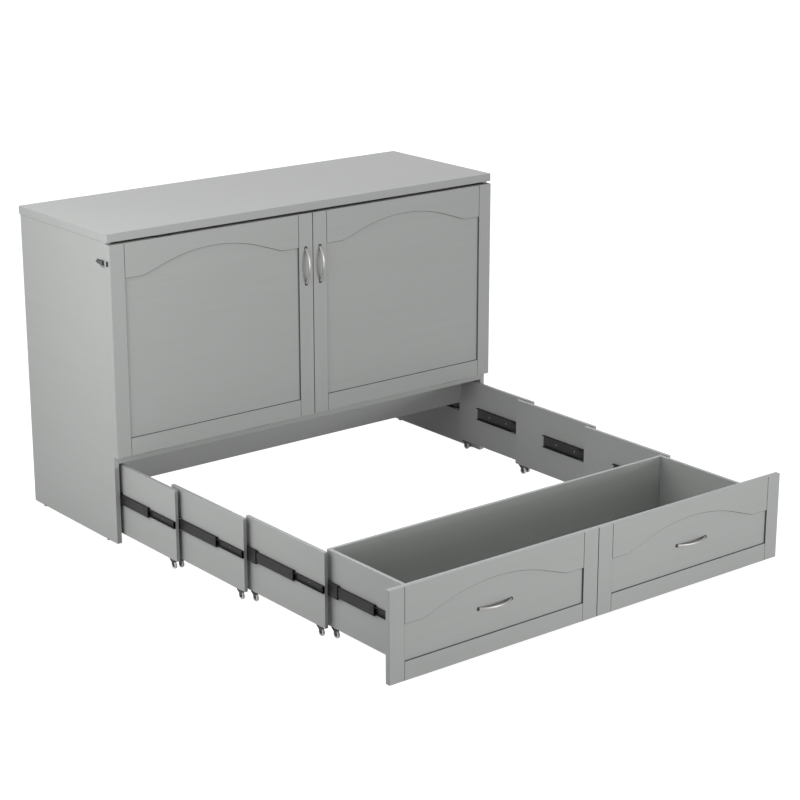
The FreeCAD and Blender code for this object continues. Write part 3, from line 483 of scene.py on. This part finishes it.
def framed(low, high, rail_top, shoulder, body, prefix, replaced):
    """Stiles, bottom rails and arched top rails of one framed front.

    The arch is worked out as the real outline is drawn: foot arcs of 45 mm, straight flanks whose
    slope is 1.6 x rise / half width, and a crown arc that fills the rest.
    """
    stile, centre_stile, door_gap, frame_edge = 0.055, 0.060, 0.0008, 0.0009
    field = high.x - stile
    lines = ((-high.x, -field), (-centre_stile, -door_gap), (door_gap, centre_stile), (field, high.x))
    stiles = [board((x0, low.y, low.z), (x1, high.y, high.z), frame_edge) for x0, x1 in lines]
    rails = [board((x0, low.y, low.z), (x1, high.y, rail_top), frame_edge)
             for x0, x1 in ((centre_stile, field), (-field, -centre_stile))]

    rise, foot, level_part, arch_corner, arch_edge = 0.0615, 0.045, 0.063, 0.0016, 0.0015
    middle, reach = (centre_stile + field) / 2, (field - centre_stile) / 2
    half = reach - level_part
    slope = math.atan(1.6 * rise / half)
    sine, cosine = math.sin(slope), math.cos(slope)
    flank = (rise - half * (1 - cosine) / sine) / (sine - cosine * (1 - cosine) / sine)
    crown = (half - flank * cosine) / sine - foot
    a = np.linspace(0, slope, 9)
    foot_arc = np.stack([-half + foot * np.sin(a), foot * (1 - np.cos(a))], 1)
    b = np.linspace(-slope, slope, 49)
    crown_arc = np.stack([crown * np.sin(b), rise - crown * (1 - np.cos(b))], 1)
    arch = np.concatenate([[(-reach, 0)], foot_arc, crown_arc, foot_arc[::-1] * (-1, 1), [(reach, 0)]])
    outline = np.concatenate([arch + (0, shoulder), [(reach, high.z), (-reach, high.z)]])
    arched = [cut_out((outline + (offset, 0))[:, ::-1], 1, low.y, high.y, arch_corner, arch_edge)
              for offset in (-middle, middle)]
    for title, parts, paint, nodes in ((" stiles", stiles, grain_z, replaced[0]),
                                       (" bottom rails", rails, grain_x, replaced[1]),
                                       (" arched rails", arched, grain_x, replaced[2])):
        # the sideways and up-down faces inside the frame get the painted shade
        paint_frame_shade(fit(prefix + title, parts, paint, body, nodes), low, high)


framed(*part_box("front_stiles"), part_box("front_bottom_rails")[1].z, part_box("front_arched_rails")[0].z,
       "front", "front", (["front_stiles"], ["front_bottom_rails"], ["front_arched_rails"]))


# ---------------------------------------------------------------- bow handles
# Satin nickel pulls: a flat oval bar bowed in one arc, a little thicker towards its ends, on two round feet.
# Two stand upright on the centre stiles, and two lie on the drawer front. The feet are coloured almost black:
# painted shade and painted dark reflection.
def bow_bar(centre, along, length, projection, width, thick, count=48, around=20):
    """Flat oval carried along a circular arc through both feet and the crest.

    The arc's radius is (c^2 + h^2) / 2h for half chord c and height h. The section is a superellipse,
    1 + 0.18 x (distance from the middle)^2 thicker towards the ends.
    """
    end_swell, side_power, face_power = 0.18, 0.75, 0.85
    chord, height = length / 2, projection - thick / 2
    radius = (chord ** 2 + height ** 2) / (2 * height)
    reach = math.asin(chord / radius)
    t = np.linspace(-reach, reach, count)
    u = np.linspace(0, 2 * math.pi, around, endpoint=False)
    swell = 1.0 + end_swell * (t / reach) ** 2
    wide = np.sign(np.cos(u)) * np.abs(np.cos(u)) ** side_power * width / 2
    through = np.sign(np.sin(u)) * np.abs(np.sin(u)) ** face_power * thick / 2
    grown = radius + through[None] * swell[:, None]
    rings = np.empty(grown.shape + (3,))
    rings[..., 1] = centre[1] - grown * np.cos(t)[:, None] + (radius - height)
    rings[..., along] = centre[along] + grown * np.sin(t)[:, None]
    rings[..., 2 - along] = centre[2 - along] + wide[None] * swell[:, None]
    return walls(rings)


nickel = plain_finish("satin nickel", (0.33, 0.325, 0.31), 1.0, 0.42, 0.05, 900.0, 0.00003)
# the feet's near-black colour is painted shade and painted dark reflection
nickel_painted_shade = plain_finish("nickel with painted shade", (0.06, 0.06, 0.058), 1.0, 0.42, 0.10, 900.0, 0.00003)
span, bar_wide, bar_thick, from_middle = 0.128, 0.009, 0.005, 0.0304
foot_profile = [(0.0, 0.0060), (-0.0016, 0.0060), (-0.0024, 0.0057), (-0.0029, 0.0050), (-0.0030, 0.0044),
                (-0.0034, 0.0040), (-0.0046, 0.0036), (-0.0046, 0.0001)]
for node, body, along in (("front_handles", "front", 2), ("drawer_handles", "drawer", 0)):
    low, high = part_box(node)
    handle_x = high.x - (span + bar_thick) / 2 if along == 0 else from_middle
    bars, feet = [], []
    for sign in (-1, 1):
        place = (sign * handle_x, high.y, (low.z + high.z) / 2)
        bars.append(bow_bar(place, along, span, high.y - low.y, bar_wide, bar_thick))
        for offset in (-span / 2, span / 2):
            foot = list(place)
            foot[along] += offset
            feet.append(turned(foot_profile, foot, 1, 28))
    fit(node.replace("_", " "), bars, nickel, body, [node])
    # the feet carry the painted shade and dark reflection
    fit(node.replace("_", " ") + " feet", feet, nickel_painted_shade, body)


# ---------------------------------------------------------------- hinges of the front
# Steel butt hinges. The leaf on the deck carries the outer knuckles and the riveted pin, and the
# leaf on the front turns in to the middle knuckle. Each leaf is held by three countersunk screws.
def screws(places, axis, sign, radius, height):
    """Domed heads with a cross recess that stand on the given points and face sign x axis.

    Rings of (share of the radius, share of the height) make the dome. In the four wings, the
    columns within 9 degrees of the cross, the inner rings drop to under half of the height.
    """
    rings = np.array([(1.0, -0.3), (1.0, 0.35), (0.90, 0.75), (0.66, 0.95),
                      (0.58, 0.97), (0.22, 0.98), (0.13, 0.35)])
    sunk = np.array([-0.3, 0.35, 0.75, 0.95, 0.45, 0.35, 0.35])
    angle = np.radians(np.add.outer(np.arange(4) * 90, (-9, 9, 15, 45, 75))).ravel()
    in_wing = np.tile([True, True, False, False, False], 4)
    up = np.where(in_wing[None], sunk[:, None], rings[:, 1:]) * height
    shape = np.empty(up.shape + (3,))
    shape[..., axis] = sign * up
    shape[..., (axis + 1) % 3] = radius * rings[:, :1] * np.cos(angle)
    shape[..., (axis + 2) % 3] = radius * rings[:, :1] * np.sin(angle)
    points, faces = walls(shape)
    return [(points + np.array(place), faces) for place in places]


def round_bar(length, radius, ease, bore=0.0001):
    """Profile of a turned bar, or of a tube with a bore, both ends eased at 45 degrees."""
    return [(0.0, bore), (0.0, radius - ease), (ease, radius),
            (length - ease, radius), (length, radius - ease), (length, bore)]


pin_low, pin_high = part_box("front_hinge_deck_leaves")
hinge_y, hinge_z = pin_low.y + hinge_radius, pin_high.z - hinge_radius
third, knuckle_gap, fold_edge = hinge_half / 3, 0.0004, 0.0002
leaf_face, bend_top = core_high.y + 0.0002, core_low.z + leaf_metal


def knuckle_between(start, end):
    """One barrel of a hinge: a turned roll of sheet with its ends eased."""
    return turned(round_bar(end - start, hinge_radius, ease=0.0003, bore=0.0017),
                  (start, hinge_y, hinge_z), 0, 28, closed=True)


# the leaf on the deck rises to its knuckles, and the one on the front turns in and comes down to its own
riser = [(hinge_y, floor_of_pocket), (hinge_y + leaf_metal, floor_of_pocket),
         (hinge_y + leaf_metal, deck_high.z + 0.002), (hinge_y + 0.0036, hinge_z), (hinge_y, hinge_z)]
turn_in = [(layer_start, core_low.z), (hinge_y, core_low.z), (hinge_y, bend_top), (layer_start, bend_top)]
drop = [(leaf_face, hinge_z + 0.002), (hinge_y, hinge_z + 0.0035), (hinge_y, bend_top), (leaf_face, bend_top)]
deck_leaves, front_leaves = [], []
for x in hinge_x:
    low_x, high_x = x - hinge_half, x + hinge_half
    middle_start, middle_end = x - third + knuckle_gap / 2, x + third - knuckle_gap / 2
    for start, end in ((low_x, middle_start - knuckle_gap), (middle_end + knuckle_gap, high_x)):
        deck_leaves.append(knuckle_between(start, end))
        deck_leaves.append(cut_out(riser, 0, start, end, 0.0003, fold_edge))
    pin = round_bar(2 * hinge_half, radius=0.0016, ease=0.0003)
    deck_leaves.append(turned(pin, (low_x, hinge_y, hinge_z), 0, 20))
    deck_leaves.append(board((low_x, hinge_y, floor_of_pocket), (high_x, leaf_back, deck_high.z), fold_edge))
    spots = [(x + offset, hinge_y + depth, deck_high.z)
             for offset, depth in ((-0.027, 0.018), (0.0, 0.023), (0.027, 0.018))]
    deck_leaves += screws(spots, 2, 1, radius=0.0042, height=0.0002)
    front_leaves.append(knuckle_between(middle_start, middle_end))
    front_leaves.append(board((low_x, layer_start, core_low.z), (high_x, core_high.y, front_leaf_top),
                              fold_edge))
    for outline in (turn_in, drop):
        front_leaves.append(cut_out(outline, 0, middle_start, middle_end, fold_edge, fold_edge))
    spots = [(x + offset, core_high.y, core_low.z + 0.018) for offset in (-0.027, 0.0, 0.027)]
    front_leaves += screws(spots, 1, 1, radius=0.0042, height=0.0002)
fit("hinge leaves on the deck", deck_leaves, steel, "cabinet",
    ["front_hinge_deck_leaves"])
fit("hinge leaves on the front", front_leaves, steel, "front",
    ["front_hinge_moving_leaves"])


# ---------------------------------------------------------------- folded deck leaf
# The second half of the deck, folded flat behind the front on three blackened flat hinges that lie
# over the top edges of both boards.
blackened = plain_finish("blackened steel", (0.09, 0.09, 0.092), 0.8, 0.42, 0.15, 700.0)
thin_board_edge = 0.001
leaf_low, leaf_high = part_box("folding_deck_leaf")
fit("folded deck leaf", [board(leaf_low, leaf_high, thin_board_edge)], grain_x, "front",
    ["folding_deck_leaf"])
roll, flat_half, flat_gap, flat_ease = 0.0024, 0.030, 0.0002, 0.0002
knuckle = 2 * flat_half / 5
plate_top = leaf_high.z + leaf_metal
roll_y, roll_z = (core_high.y + leaf_low.y) / 2, core_high.z + leaf_metal
over_front = [(core_low.y, core_high.z), (roll_y, core_high.z), (roll_y, roll_z), (core_low.y, roll_z)]
over_leaf = [(leaf_low.y, leaf_high.z), (leaf_high.y, leaf_high.z), (leaf_high.y, plate_top),
             (leaf_low.y + leaf_metal, plate_top), (leaf_low.y + leaf_metal, roll_z), (leaf_low.y, roll_z)]
flat_hinges = []
for x in (-0.6, 0.0, 0.6):
    flat_hinges += [cut_out(outline, 0, x - flat_half, x + flat_half, 0.0004, fold_edge)
                    for outline in (over_front, over_leaf)]
    for start in x + np.arange(-2.5, 2.5) * knuckle + flat_gap:
        barrel = round_bar(knuckle - 2 * flat_gap, roll, flat_ease, bore=0.0008)
        flat_hinges.append(turned(barrel, (start, roll_y, roll_z), 0, 24, closed=True))
    for y, z in ((core_low.y + 0.009, roll_z), (leaf_high.y - 0.008, plate_top)):
        flat_hinges += screws([(x - 0.02, y, z), (x + 0.02, y, z)], 2, 1, radius=0.0034, height=0.0003)
fit("flat hinges", flat_hinges, blackened, "front", ["leaf_hinges"])


# ---------------------------------------------------------------- toggle latches
# Small draw latches hook the cabinet to the front: a stamped base with two ears, a lever on a
# rivet, a bent wire bail and a hooked keeper. Here the lever is shut and the bail hangs loose.
base_low, base_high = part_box("latch_bases")
bail_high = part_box("right_latch_bail")[1]
keeper_low, keeper_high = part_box("latch_keepers")
side_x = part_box("right_side_panel")[1].x
latch_z, latch_half, latch_metal = (base_low.z + base_high.z) / 2, 0.008, 0.0015
rivet_out, rivet_y = 0.0045, base_low.y + 0.0055
lever_half, ear_radius = latch_half - latch_metal - 0.0003, 0.0025


def on_side(points):
    """Outline given as (out from the side, back from the rivet) pairs, put in its place on the right side."""
    return np.asarray(points, float) + (side_x, rivet_y)


def fan(centre, radius, start, end, count=9):
    """Points of an arc, angles in degrees."""
    a = np.radians(np.linspace(start, end, count))
    return [(centre[0] + radius * math.cos(t), centre[1] + radius * math.sin(t)) for t in a]


def latch_base():
    """Base sheet with rounded corners, two ears, the rivet with its heads, and two screws."""
    corners = [(base_low.y, base_low.z), (base_high.y, base_low.z),
               (base_high.y, base_high.z), (base_low.y, base_high.z)]
    parts = [cut_out(corners, 0, side_x, side_x + latch_metal, 0.0025, 0.0003, 6)]
    ear = on_side([(0.0003, -ear_radius), *fan((rivet_out, 0.0), ear_radius, -90, 90), (0.0003, ear_radius)])
    for start in (latch_z - latch_half, latch_z + latch_half - latch_metal):
        parts.append(cut_out(ear, 2, start, start + latch_metal, 0.0002, 0.0002))
    rivet = [(0.0, 0.0001), (0.0, 0.0009), (0.0003, 0.00125),
             (2 * latch_half - 0.0003, 0.00125), (2 * latch_half, 0.0009), (2 * latch_half, 0.0001)]
    parts.append(turned(rivet, (side_x + rivet_out, rivet_y, latch_z - latch_half), 2, 20))
    spots = [(side_x + latch_metal, base_high.y - 0.004, latch_z + offset) for offset in (-0.0052, 0.0052)]
    return parts + screws(spots, 0, 1, radius=0.0018, height=0.0007)


def latch_lever():
    """Lever drawn from the side and carried across: a roll on the rivet, a block for the wire, and a tail.

    Its half width shrinks evenly from the block to half as much at the tip of the tail.
    """
    tip, block_end = base_high.y - rivet_y, 0.0104
    side = on_side([*fan((rivet_out, 0.0), ear_radius, 180, 335, 13), (0.0084, 0.0016), (0.0084, 0.0098),
                    (0.0052, 0.0135), (0.0045, 0.019), (0.0045, tip - 0.006), (0.0058, tip - 0.0004),
                    (0.0048, tip), (0.0030, tip - 0.005), (0.0030, 0.0024)])
    points, faces = cut_out(side, 2, -lever_half, lever_half, 0.0005, 0.0004)
    share = np.clip((points[:, 1] - rivet_y - block_end) / (tip - block_end), 0, 1)
    points[:, 2] = latch_z + points[:, 2] * (1 - 0.5 * share)
    return points, faces


def latch_bail():
    """Wire of 2 mm bent to a loop: a circle carried round a rectangle with rounded corners, leant out."""
    wire, lean, bend = 0.0010, math.radians(10.0), 0.0030
    pivot = np.array([side_x + 0.0060, rivet_y + 0.0080, latch_z])
    reach, half = 0.0345, bail_high.z - wire - latch_z
    ahead, aside = np.array([math.sin(lean), -math.cos(lean), 0.0]), np.array([0.0, 0.0, 1.0])
    path, inward = eased_corners([(0, -half), (reach, -half), (reach, half), (0, half)], bend, 8)
    centre = pivot + path[:, :1] * ahead + path[:, 1:] * aside
    inward = inward[:, :1] * ahead + inward[:, 1:] * aside
    u = np.linspace(0, 2 * math.pi, 14, endpoint=False)
    flat = np.cross(ahead, aside)
    round_wire = np.cos(u)[None, :, None] * inward[:, None] + np.sin(u)[None, :, None] * flat
    return walls(centre[:, None] + wire * round_wire, closed=True)


def latch_keeper():
    """Keeper bent from sheet: a foot on the edge of the front and a lip hooked back over the wire."""
    front, back, out = keeper_low.y, keeper_high.y, keeper_high.x - side_x
    lip = front + 0.75 * (back - front)
    hook = lip - latch_metal
    side = [(0, front), (latch_metal, front), (latch_metal, hook), (out - 0.0008, hook - 0.0010),
            (out, hook + 0.0002), (latch_metal + 0.0016, lip), (latch_metal, back), (0, back)]
    parts = [cut_out(np.array(side) + (side_x, 0), 2, keeper_low.z, keeper_high.z, 0.0004, 0.0004)]
    spots = [(side_x + latch_metal, front + 0.0042, latch_z + offset) for offset in (-0.0045, 0.0045)]
    return parts + screws(spots, 0, 1, radius=0.0018, height=0.0006)


fit("latch bases", both_sides(latch_base()), blackened, "cabinet", ["latch_bases"])
fit("latch keepers", both_sides(latch_keeper()), blackened, "front", ["latch_keepers"])
for side, sign in (("right", 1.0), ("left", -1.0)):
    for kind, (points, faces) in (("lever", latch_lever()), ("bail", latch_bail())):
        fit("%s latch %s" % (side, kind), [(points * (sign, 1.0, 1.0), faces)], blackened,
            "%s_%s" % (side, kind), ["%s_latch_%s" % (side, kind)])


# ---------------------------------------------------------------- sections of the base
# Three pairs of 12 mm boards, each pair inside the one before. Only the widest pair is tied
# across, by a rail that stays inside the cabinet.
for stage in (1, 2, 3):
    for side in ("left", "right"):
        node = "%s_section_%d_panel" % (side, stage)
        fit("%s section %d board" % (side, stage), [board(*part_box(node), thin_board_edge)], grain_y,
            "section_%d" % stage, [node])
fit("section 1 cross board", [board(*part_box("section_1_cross_rail"), thin_board_edge)], grain_x,
    "section_1", ["section_1_cross_rail"])


# ---------------------------------------------------------------- slides
# Black ball-bearing slides in three members rolled from 1.2 mm strip. The outer one is screwed to
# the board outside it, the inner one to the board inside it, and the middle one runs between them
# on two pairs of ball races, with a plastic bumper over its front end.
slide_black = plain_finish("black slide steel", (0.019, 0.019, 0.019), 0.0, 0.42, 0.25, 300.0, shine=0.20)
bumper_black = plain_finish("bumper plastic", (0.012, 0.012, 0.012), 0.0, 0.60, 0.20, 500.0, shine=0.15)
bright_steel = plain_finish("ground ball steel", (0.62, 0.62, 0.62), 1.0, 0.22, 0.05, 900.0, 0.00001)
slide_length, sheet, hole_radius, slot_half = 0.305, 0.0012, 0.0023, 0.0022
middle_half, middle_depth, inner_depth, bumper_length = 0.0175, 0.0090, 0.0080, 0.005


def section_of(half, depth, lip=0.0, bead=0.0):
    """Section of a rolled member, (depth, height, corner radius): web, flanges, curled lips and two beads."""
    bend, tight, tip = 0.0018, 0.0006, 0.0005
    outside = [(depth, half, bend), (0, half, bend)]
    if lip:
        inside = [(sheet, half - sheet, tight), (depth - sheet, half - sheet, tight),
                  (depth - sheet, half - lip, tip), (depth, half - lip, tip)]
    else:
        inside = [(sheet, half - sheet, tight), (depth, half - sheet, tip)]
    upper = inside + outside
    if bead:
        ridge = [(0, bead + 0.0026), (0.0009, bead + 0.0012), (0.0009, bead - 0.0012), (0, bead - 0.0026)]
        upper = [(sheet + d, up, tight) for d, up in ridge[::-1]] + upper
        upper += [(d, up, tight) for d, up in ridge]
    lower = [(d, -up, radius) for d, up, radius in upper]
    return np.array(lower[::-1] + upper)


def member(face, opening, section, front, slide_z):
    """The section carried along the slide's length from its front end, its web against the given face."""
    places = np.stack([slide_z + section[:, 1], face - opening * section[:, 0]], 1)
    return cut_out(places, 1, front, front + slide_length, section[:, 2], 0.0002, 4)


def drill_bits(x, front, slide_z, holes, slots):
    """Round and upright oval drills through a web at x, at distances behind the front end."""
    reach = 0.003
    parts = [turned([(-reach, hole_radius), (reach, hole_radius)], (x, front + offset, slide_z), 0, 20)
             for offset in holes]
    for offset in slots:
        y = front + offset
        oval = [*fan((y, slide_z + slot_half), hole_radius, 0, 180, 11),
                *fan((y, slide_z - slot_half), hole_radius, 180, 360, 11)]
        parts.append(cut_out(oval, 0, x - reach, x + reach, 0.0, 0.0))
    return parts


def ball(x, y, z):
    """One steel ball: a circle swept round, as rings of radius r sin t at the heights r cos t."""
    ball_radius = 0.00185
    t = np.linspace(math.pi, 0, 9)[1:-1]
    return turned(np.stack([ball_radius * np.cos(t), ball_radius * np.sin(t)], 1), (x, y, z), 1, 12)


def race(face, near, far, y, slide_z, height):
    """Ball cage: thin strips over and under the slide's middle, with six balls in each.

    The strips reach from near to far, measured inwards from the face.
    """
    cage_length, cage_half, first_ball, pitch = 0.100, 0.0003, 0.006, 0.0176
    strips, balls = [], []
    for z in (slide_z - height, slide_z + height):
        strips.append(board((face - far, y, z - cage_half), (face - near, y + cage_length, z + cage_half),
                            0.0001))
        balls += [ball(face - (near + far) / 2, y + first_ball + pitch * k, z) for k in range(6)]
    return strips, balls


def fit_member(stage, kind, face, opening, section, front, slide_z, body, holes, slots=(), screwed=(),
               head=0.0):
    """One pair of members with its holes and slots, and the heads of its screws in some of the holes."""
    title = "slide %d %s " % (stage, kind)
    bits = drill_bits(face - opening * sheet / 2, front, slide_z, holes, slots)
    fit(title + "members", both_sides([member(face, opening, section, front, slide_z)]), slide_black, body,
        ["slide_%d_%s_members" % (stage, kind)], both_sides(bits))
    if screwed:
        spots = [(face - opening * sheet, front + offset, slide_z) for offset in screwed]
        heads = screws(spots, 0, -opening, radius=0.0036, height=head)
        fit(title + "screws", both_sides(heads), slide_black, body)


outer_section = section_of(half=0.0225, depth=0.0102, lip=0.0026)
middle_section = section_of(half=middle_half, depth=middle_depth, lip=0.0026, bead=0.0072)
inner_section = section_of(half=0.0125, depth=inner_depth)
outer_holes, outer_slots, middle_holes = (0.014, 0.110, 0.270), (0.046, 0.142, 0.238), (0.012, 0.290)
inner_holes, inner_screws = (0.014, 0.078, 0.174, 0.270), (0.014, 0.174, 0.270)
opening_half = 0.0128
bumper = [(0, -middle_half), (middle_depth, -middle_half),
          (middle_depth, -opening_half), (sheet, -opening_half)]
bumper += [(depth, -up) for depth, up in bumper[::-1]]
carriers = ("cabinet", "section_1", "section_2", "section_3")
movers = ("section_1", "section_2", "section_3", "drawer")
for stage, (carrier, mover) in enumerate(zip(carriers, movers), 1):
    outer_low, outer_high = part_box("slide_%d_outer_members" % stage)
    middle_low, middle_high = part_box("slide_%d_middle_members" % stage)
    inner_low, inner_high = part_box("slide_%d_inner_members" % stage)
    slide_z, middle_front = (outer_low.z + outer_high.z) / 2, middle_low.y + bumper_length
    middle_body = "slide_%d_middle" % stage

    fit_member(stage, "outer", outer_high.x, 1, outer_section, outer_low.y, slide_z, carrier,
               outer_holes, outer_slots, screwed=outer_holes, head=0.0009)
    fit_member(stage, "middle", middle_high.x, 1, middle_section, middle_front, slide_z, middle_body,
               middle_holes)
    cap = cut_out([(slide_z + up, middle_high.x - depth) for depth, up in bumper],
                  1, middle_low.y, middle_front, 0.0008, 0.0008, 4)
    fit("slide %d bumpers" % stage, both_sides([cap]), bumper_black, middle_body)
    fit_member(stage, "inner", inner_high.x - inner_depth, -1, inner_section, inner_low.y, slide_z, mover,
               inner_holes, screwed=inner_screws, head=0.0018)

    cages, balls = [], []
    for start, near, far, height in ((slide_length - 0.104, 0.0030, 0.0082, 0.0194),
                                     (0.010, 0.0055, 0.0095, 0.0144)):
        strips, row = race(outer_high.x, near, far, middle_front + start, slide_z, height)
        cages += strips
        balls += row
    fit("slide %d ball cages" % stage, both_sides(cages), steel, middle_body)
    fit("slide %d balls" % stage, both_sides(balls), bright_steel, middle_body)


# ---------------------------------------------------------------- casters
# Fixed casters under both ends of every section board and of the drawer's sides: a dark fork stamped
# from sheet and screwed on from below, a riveted axle, and a pale nylon wheel with a greyer hub.
fork_dark = plain_finish("dark stamped steel", (0.030, 0.030, 0.031), 0.0, 0.40, 0.25, 600.0, shine=0.3)
wheel_nylon = plain_finish("pale nylon", (0.84, 0.84, 0.82), 0.0, 0.38, 0.04, 500.0)
hub_nylon = plain_finish("grey hub nylon", (0.16, 0.16, 0.16), 0.0, 0.45, 0.08, 500.0)
wheel_radius, wheel_half, cheek_gap, fork_sheet, trail = 0.0125, 0.0040, 0.0003, 0.0013, 0.006
axle_radius, fork_edge = 0.0020, 0.0002


def fork(x, axle_y, board_foot):
    """Fork: a plate with its long edges bent down into two cheeks that narrow to the axle, and its screws.

    Each arm of a cheek runs from a corner to the foot round the axle, as a curve through three points:
    (1 - s)^2 x corner + 2s(1 - s) x hollow + s^2 x foot, s from 0 to 1.
    """
    y, plate_half, foot, corner_in, corner_down = axle_y + trail, 0.014, 0.0038, 0.0006, 0.002
    reach = wheel_half + cheek_gap + fork_sheet
    top = board_foot - fork_sheet
    plate = [(top, x - reach), (board_foot, x - reach), (board_foot, x + reach), (top, x + reach)]
    bends = (0.0001, 0.0012, 0.0012, 0.0001)
    parts = [cut_out(plate, 1, y - plate_half, y + plate_half, bends, fork_edge, 4)]
    sweep = np.linspace(0.0, 1.0, 9)[:-1, None]
    arms = []
    for sign in (-1, 1):
        start = np.array((y + sign * (plate_half - corner_in), top - corner_down))
        end = np.array((axle_y + sign * foot, wheel_radius))
        hollow = end + (0.2, 0.65) * (start - end)
        arms.append((1 - sweep) ** 2 * start + 2 * sweep * (1 - sweep) * hollow + sweep ** 2 * end)
    cheek = [(y + plate_half, top + 0.0001), (y - plate_half, top + 0.0001), *arms[0],
             *fan((axle_y, wheel_radius), foot, 180, 360, 13), *arms[1][::-1]]
    for start in (x - reach, x + reach - fork_sheet):
        parts.append(cut_out(cheek, 0, start, start + fork_sheet, fork_edge, fork_edge))
    rivet_head = [(0.0, 0.0030), (0.0004, 0.0029), (0.0008, 0.0020), (0.0009, 0.0008), (0.0009, 0.0001)]
    for sign in (-1, 1):
        place = (x + sign * (reach - 0.00005), axle_y, wheel_radius)
        parts.append(turned([(sign * d, r) for d, r in rivet_head], place, 0, 20))
    axle = [(-reach, 0.0001), (-reach, axle_radius), (reach, axle_radius), (reach, 0.0001)]
    parts.append(turned(axle, (x, axle_y, wheel_radius), 0, 24))
    spots = [(x, y - 0.010, top), (x, y + 0.0105, top)]
    return parts + screws(spots, 2, -1, radius=0.0026, height=0.0010)


def wheel(x, axle_y):
    """Turned rim with a rounded tread, and the hub inside it with a raised boss: (rim, hub)."""
    tread, inner, bore, boss, recess, ease = 0.0015, 0.0082, axle_radius + 0.00005, 0.0044, 0.0012, 0.0004
    side = [(-wheel_half + ease, inner), (-wheel_half, inner + ease), (-wheel_half, wheel_radius - tread),
            (-wheel_half + 0.3 * tread, wheel_radius - 0.45 * tread), (-wheel_half + tread, wheel_radius)]
    rim = side + [(-d, r) for d, r in side[::-1]]
    side = [(-wheel_half, bore), (-wheel_half, boss - 0.0006), (-wheel_half + ease, boss),
            (-wheel_half + recess, boss + 0.0006), (-wheel_half + recess, inner + 0.0002)]
    hub = side + [(-d, r) for d, r in side[::-1]]
    centre = (x, axle_y, wheel_radius)
    return turned(rim, centre, 0, 48, closed=True), turned(hub, centre, 0, 36, closed=True)


for owner in movers:
    forks = []
    for end in ("front", "rear"):
        node = "%s_%s_wheels" % (owner, end)
        low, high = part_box(node)
        axle_y, wheel_x = (low.y + high.y) / 2, high.x - wheel_half
        forks += fork(wheel_x, axle_y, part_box(owner + "_caster_forks")[1].z)
        rim, hub = wheel(wheel_x, axle_y)
        fit(node.replace("_", " "), both_sides([rim]), wheel_nylon, node + "_body", [node])
        fit(node.replace("_", " ") + " hubs", both_sides([hub]), hub_nylon, node + "_body")
    fit(owner.replace("_", " ") + " caster forks", both_sides(forks), fork_dark, owner,
        [owner + "_caster_forks"])


# ---------------------------------------------------------------- drawer at the foot
# An open box on casters behind a front that matches the fold-down front: 12 mm sides and back
# grooved for the bottom, and the same arch-topped frame on the front board.
wall_thickness, groove, bottom_edge, drawer_rail = 0.012, 0.004, 0.0004, 0.0607
low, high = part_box("drawer_sides")
inside_x = high.x - wall_thickness
wall = board((inside_x, low.y, low.z), high, thin_board_edge)
fit("drawer side boards", both_sides([wall]), grain_y, "drawer", ["drawer_sides"])
drawer_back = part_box("drawer_back")
fit("drawer back board", [board(*drawer_back, thin_board_edge)], grain_x, "drawer",
    ["drawer_back"])
low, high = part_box("drawer_bottom")
bottom_low = (-inside_x - groove, low.y, low.z)
bottom_high = (inside_x + groove, drawer_back[0].y + groove, high.z)
fit("drawer bottom board", [board(bottom_low, bottom_high, bottom_edge)], grain_x, "drawer",
    ["drawer_bottom"])
fit("drawer front board", [board(*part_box("drawer_front_core"), plain_edge)], grain_x, "drawer",
    ["drawer_front_core"])
frame_low, frame_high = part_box("drawer_front_frame")
framed(frame_low, frame_high, frame_low.z + drawer_rail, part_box("drawer_arched_rails")[0].z, "drawer",
       "drawer front", (["drawer_front_frame"], [], ["drawer_arched_rails"]))
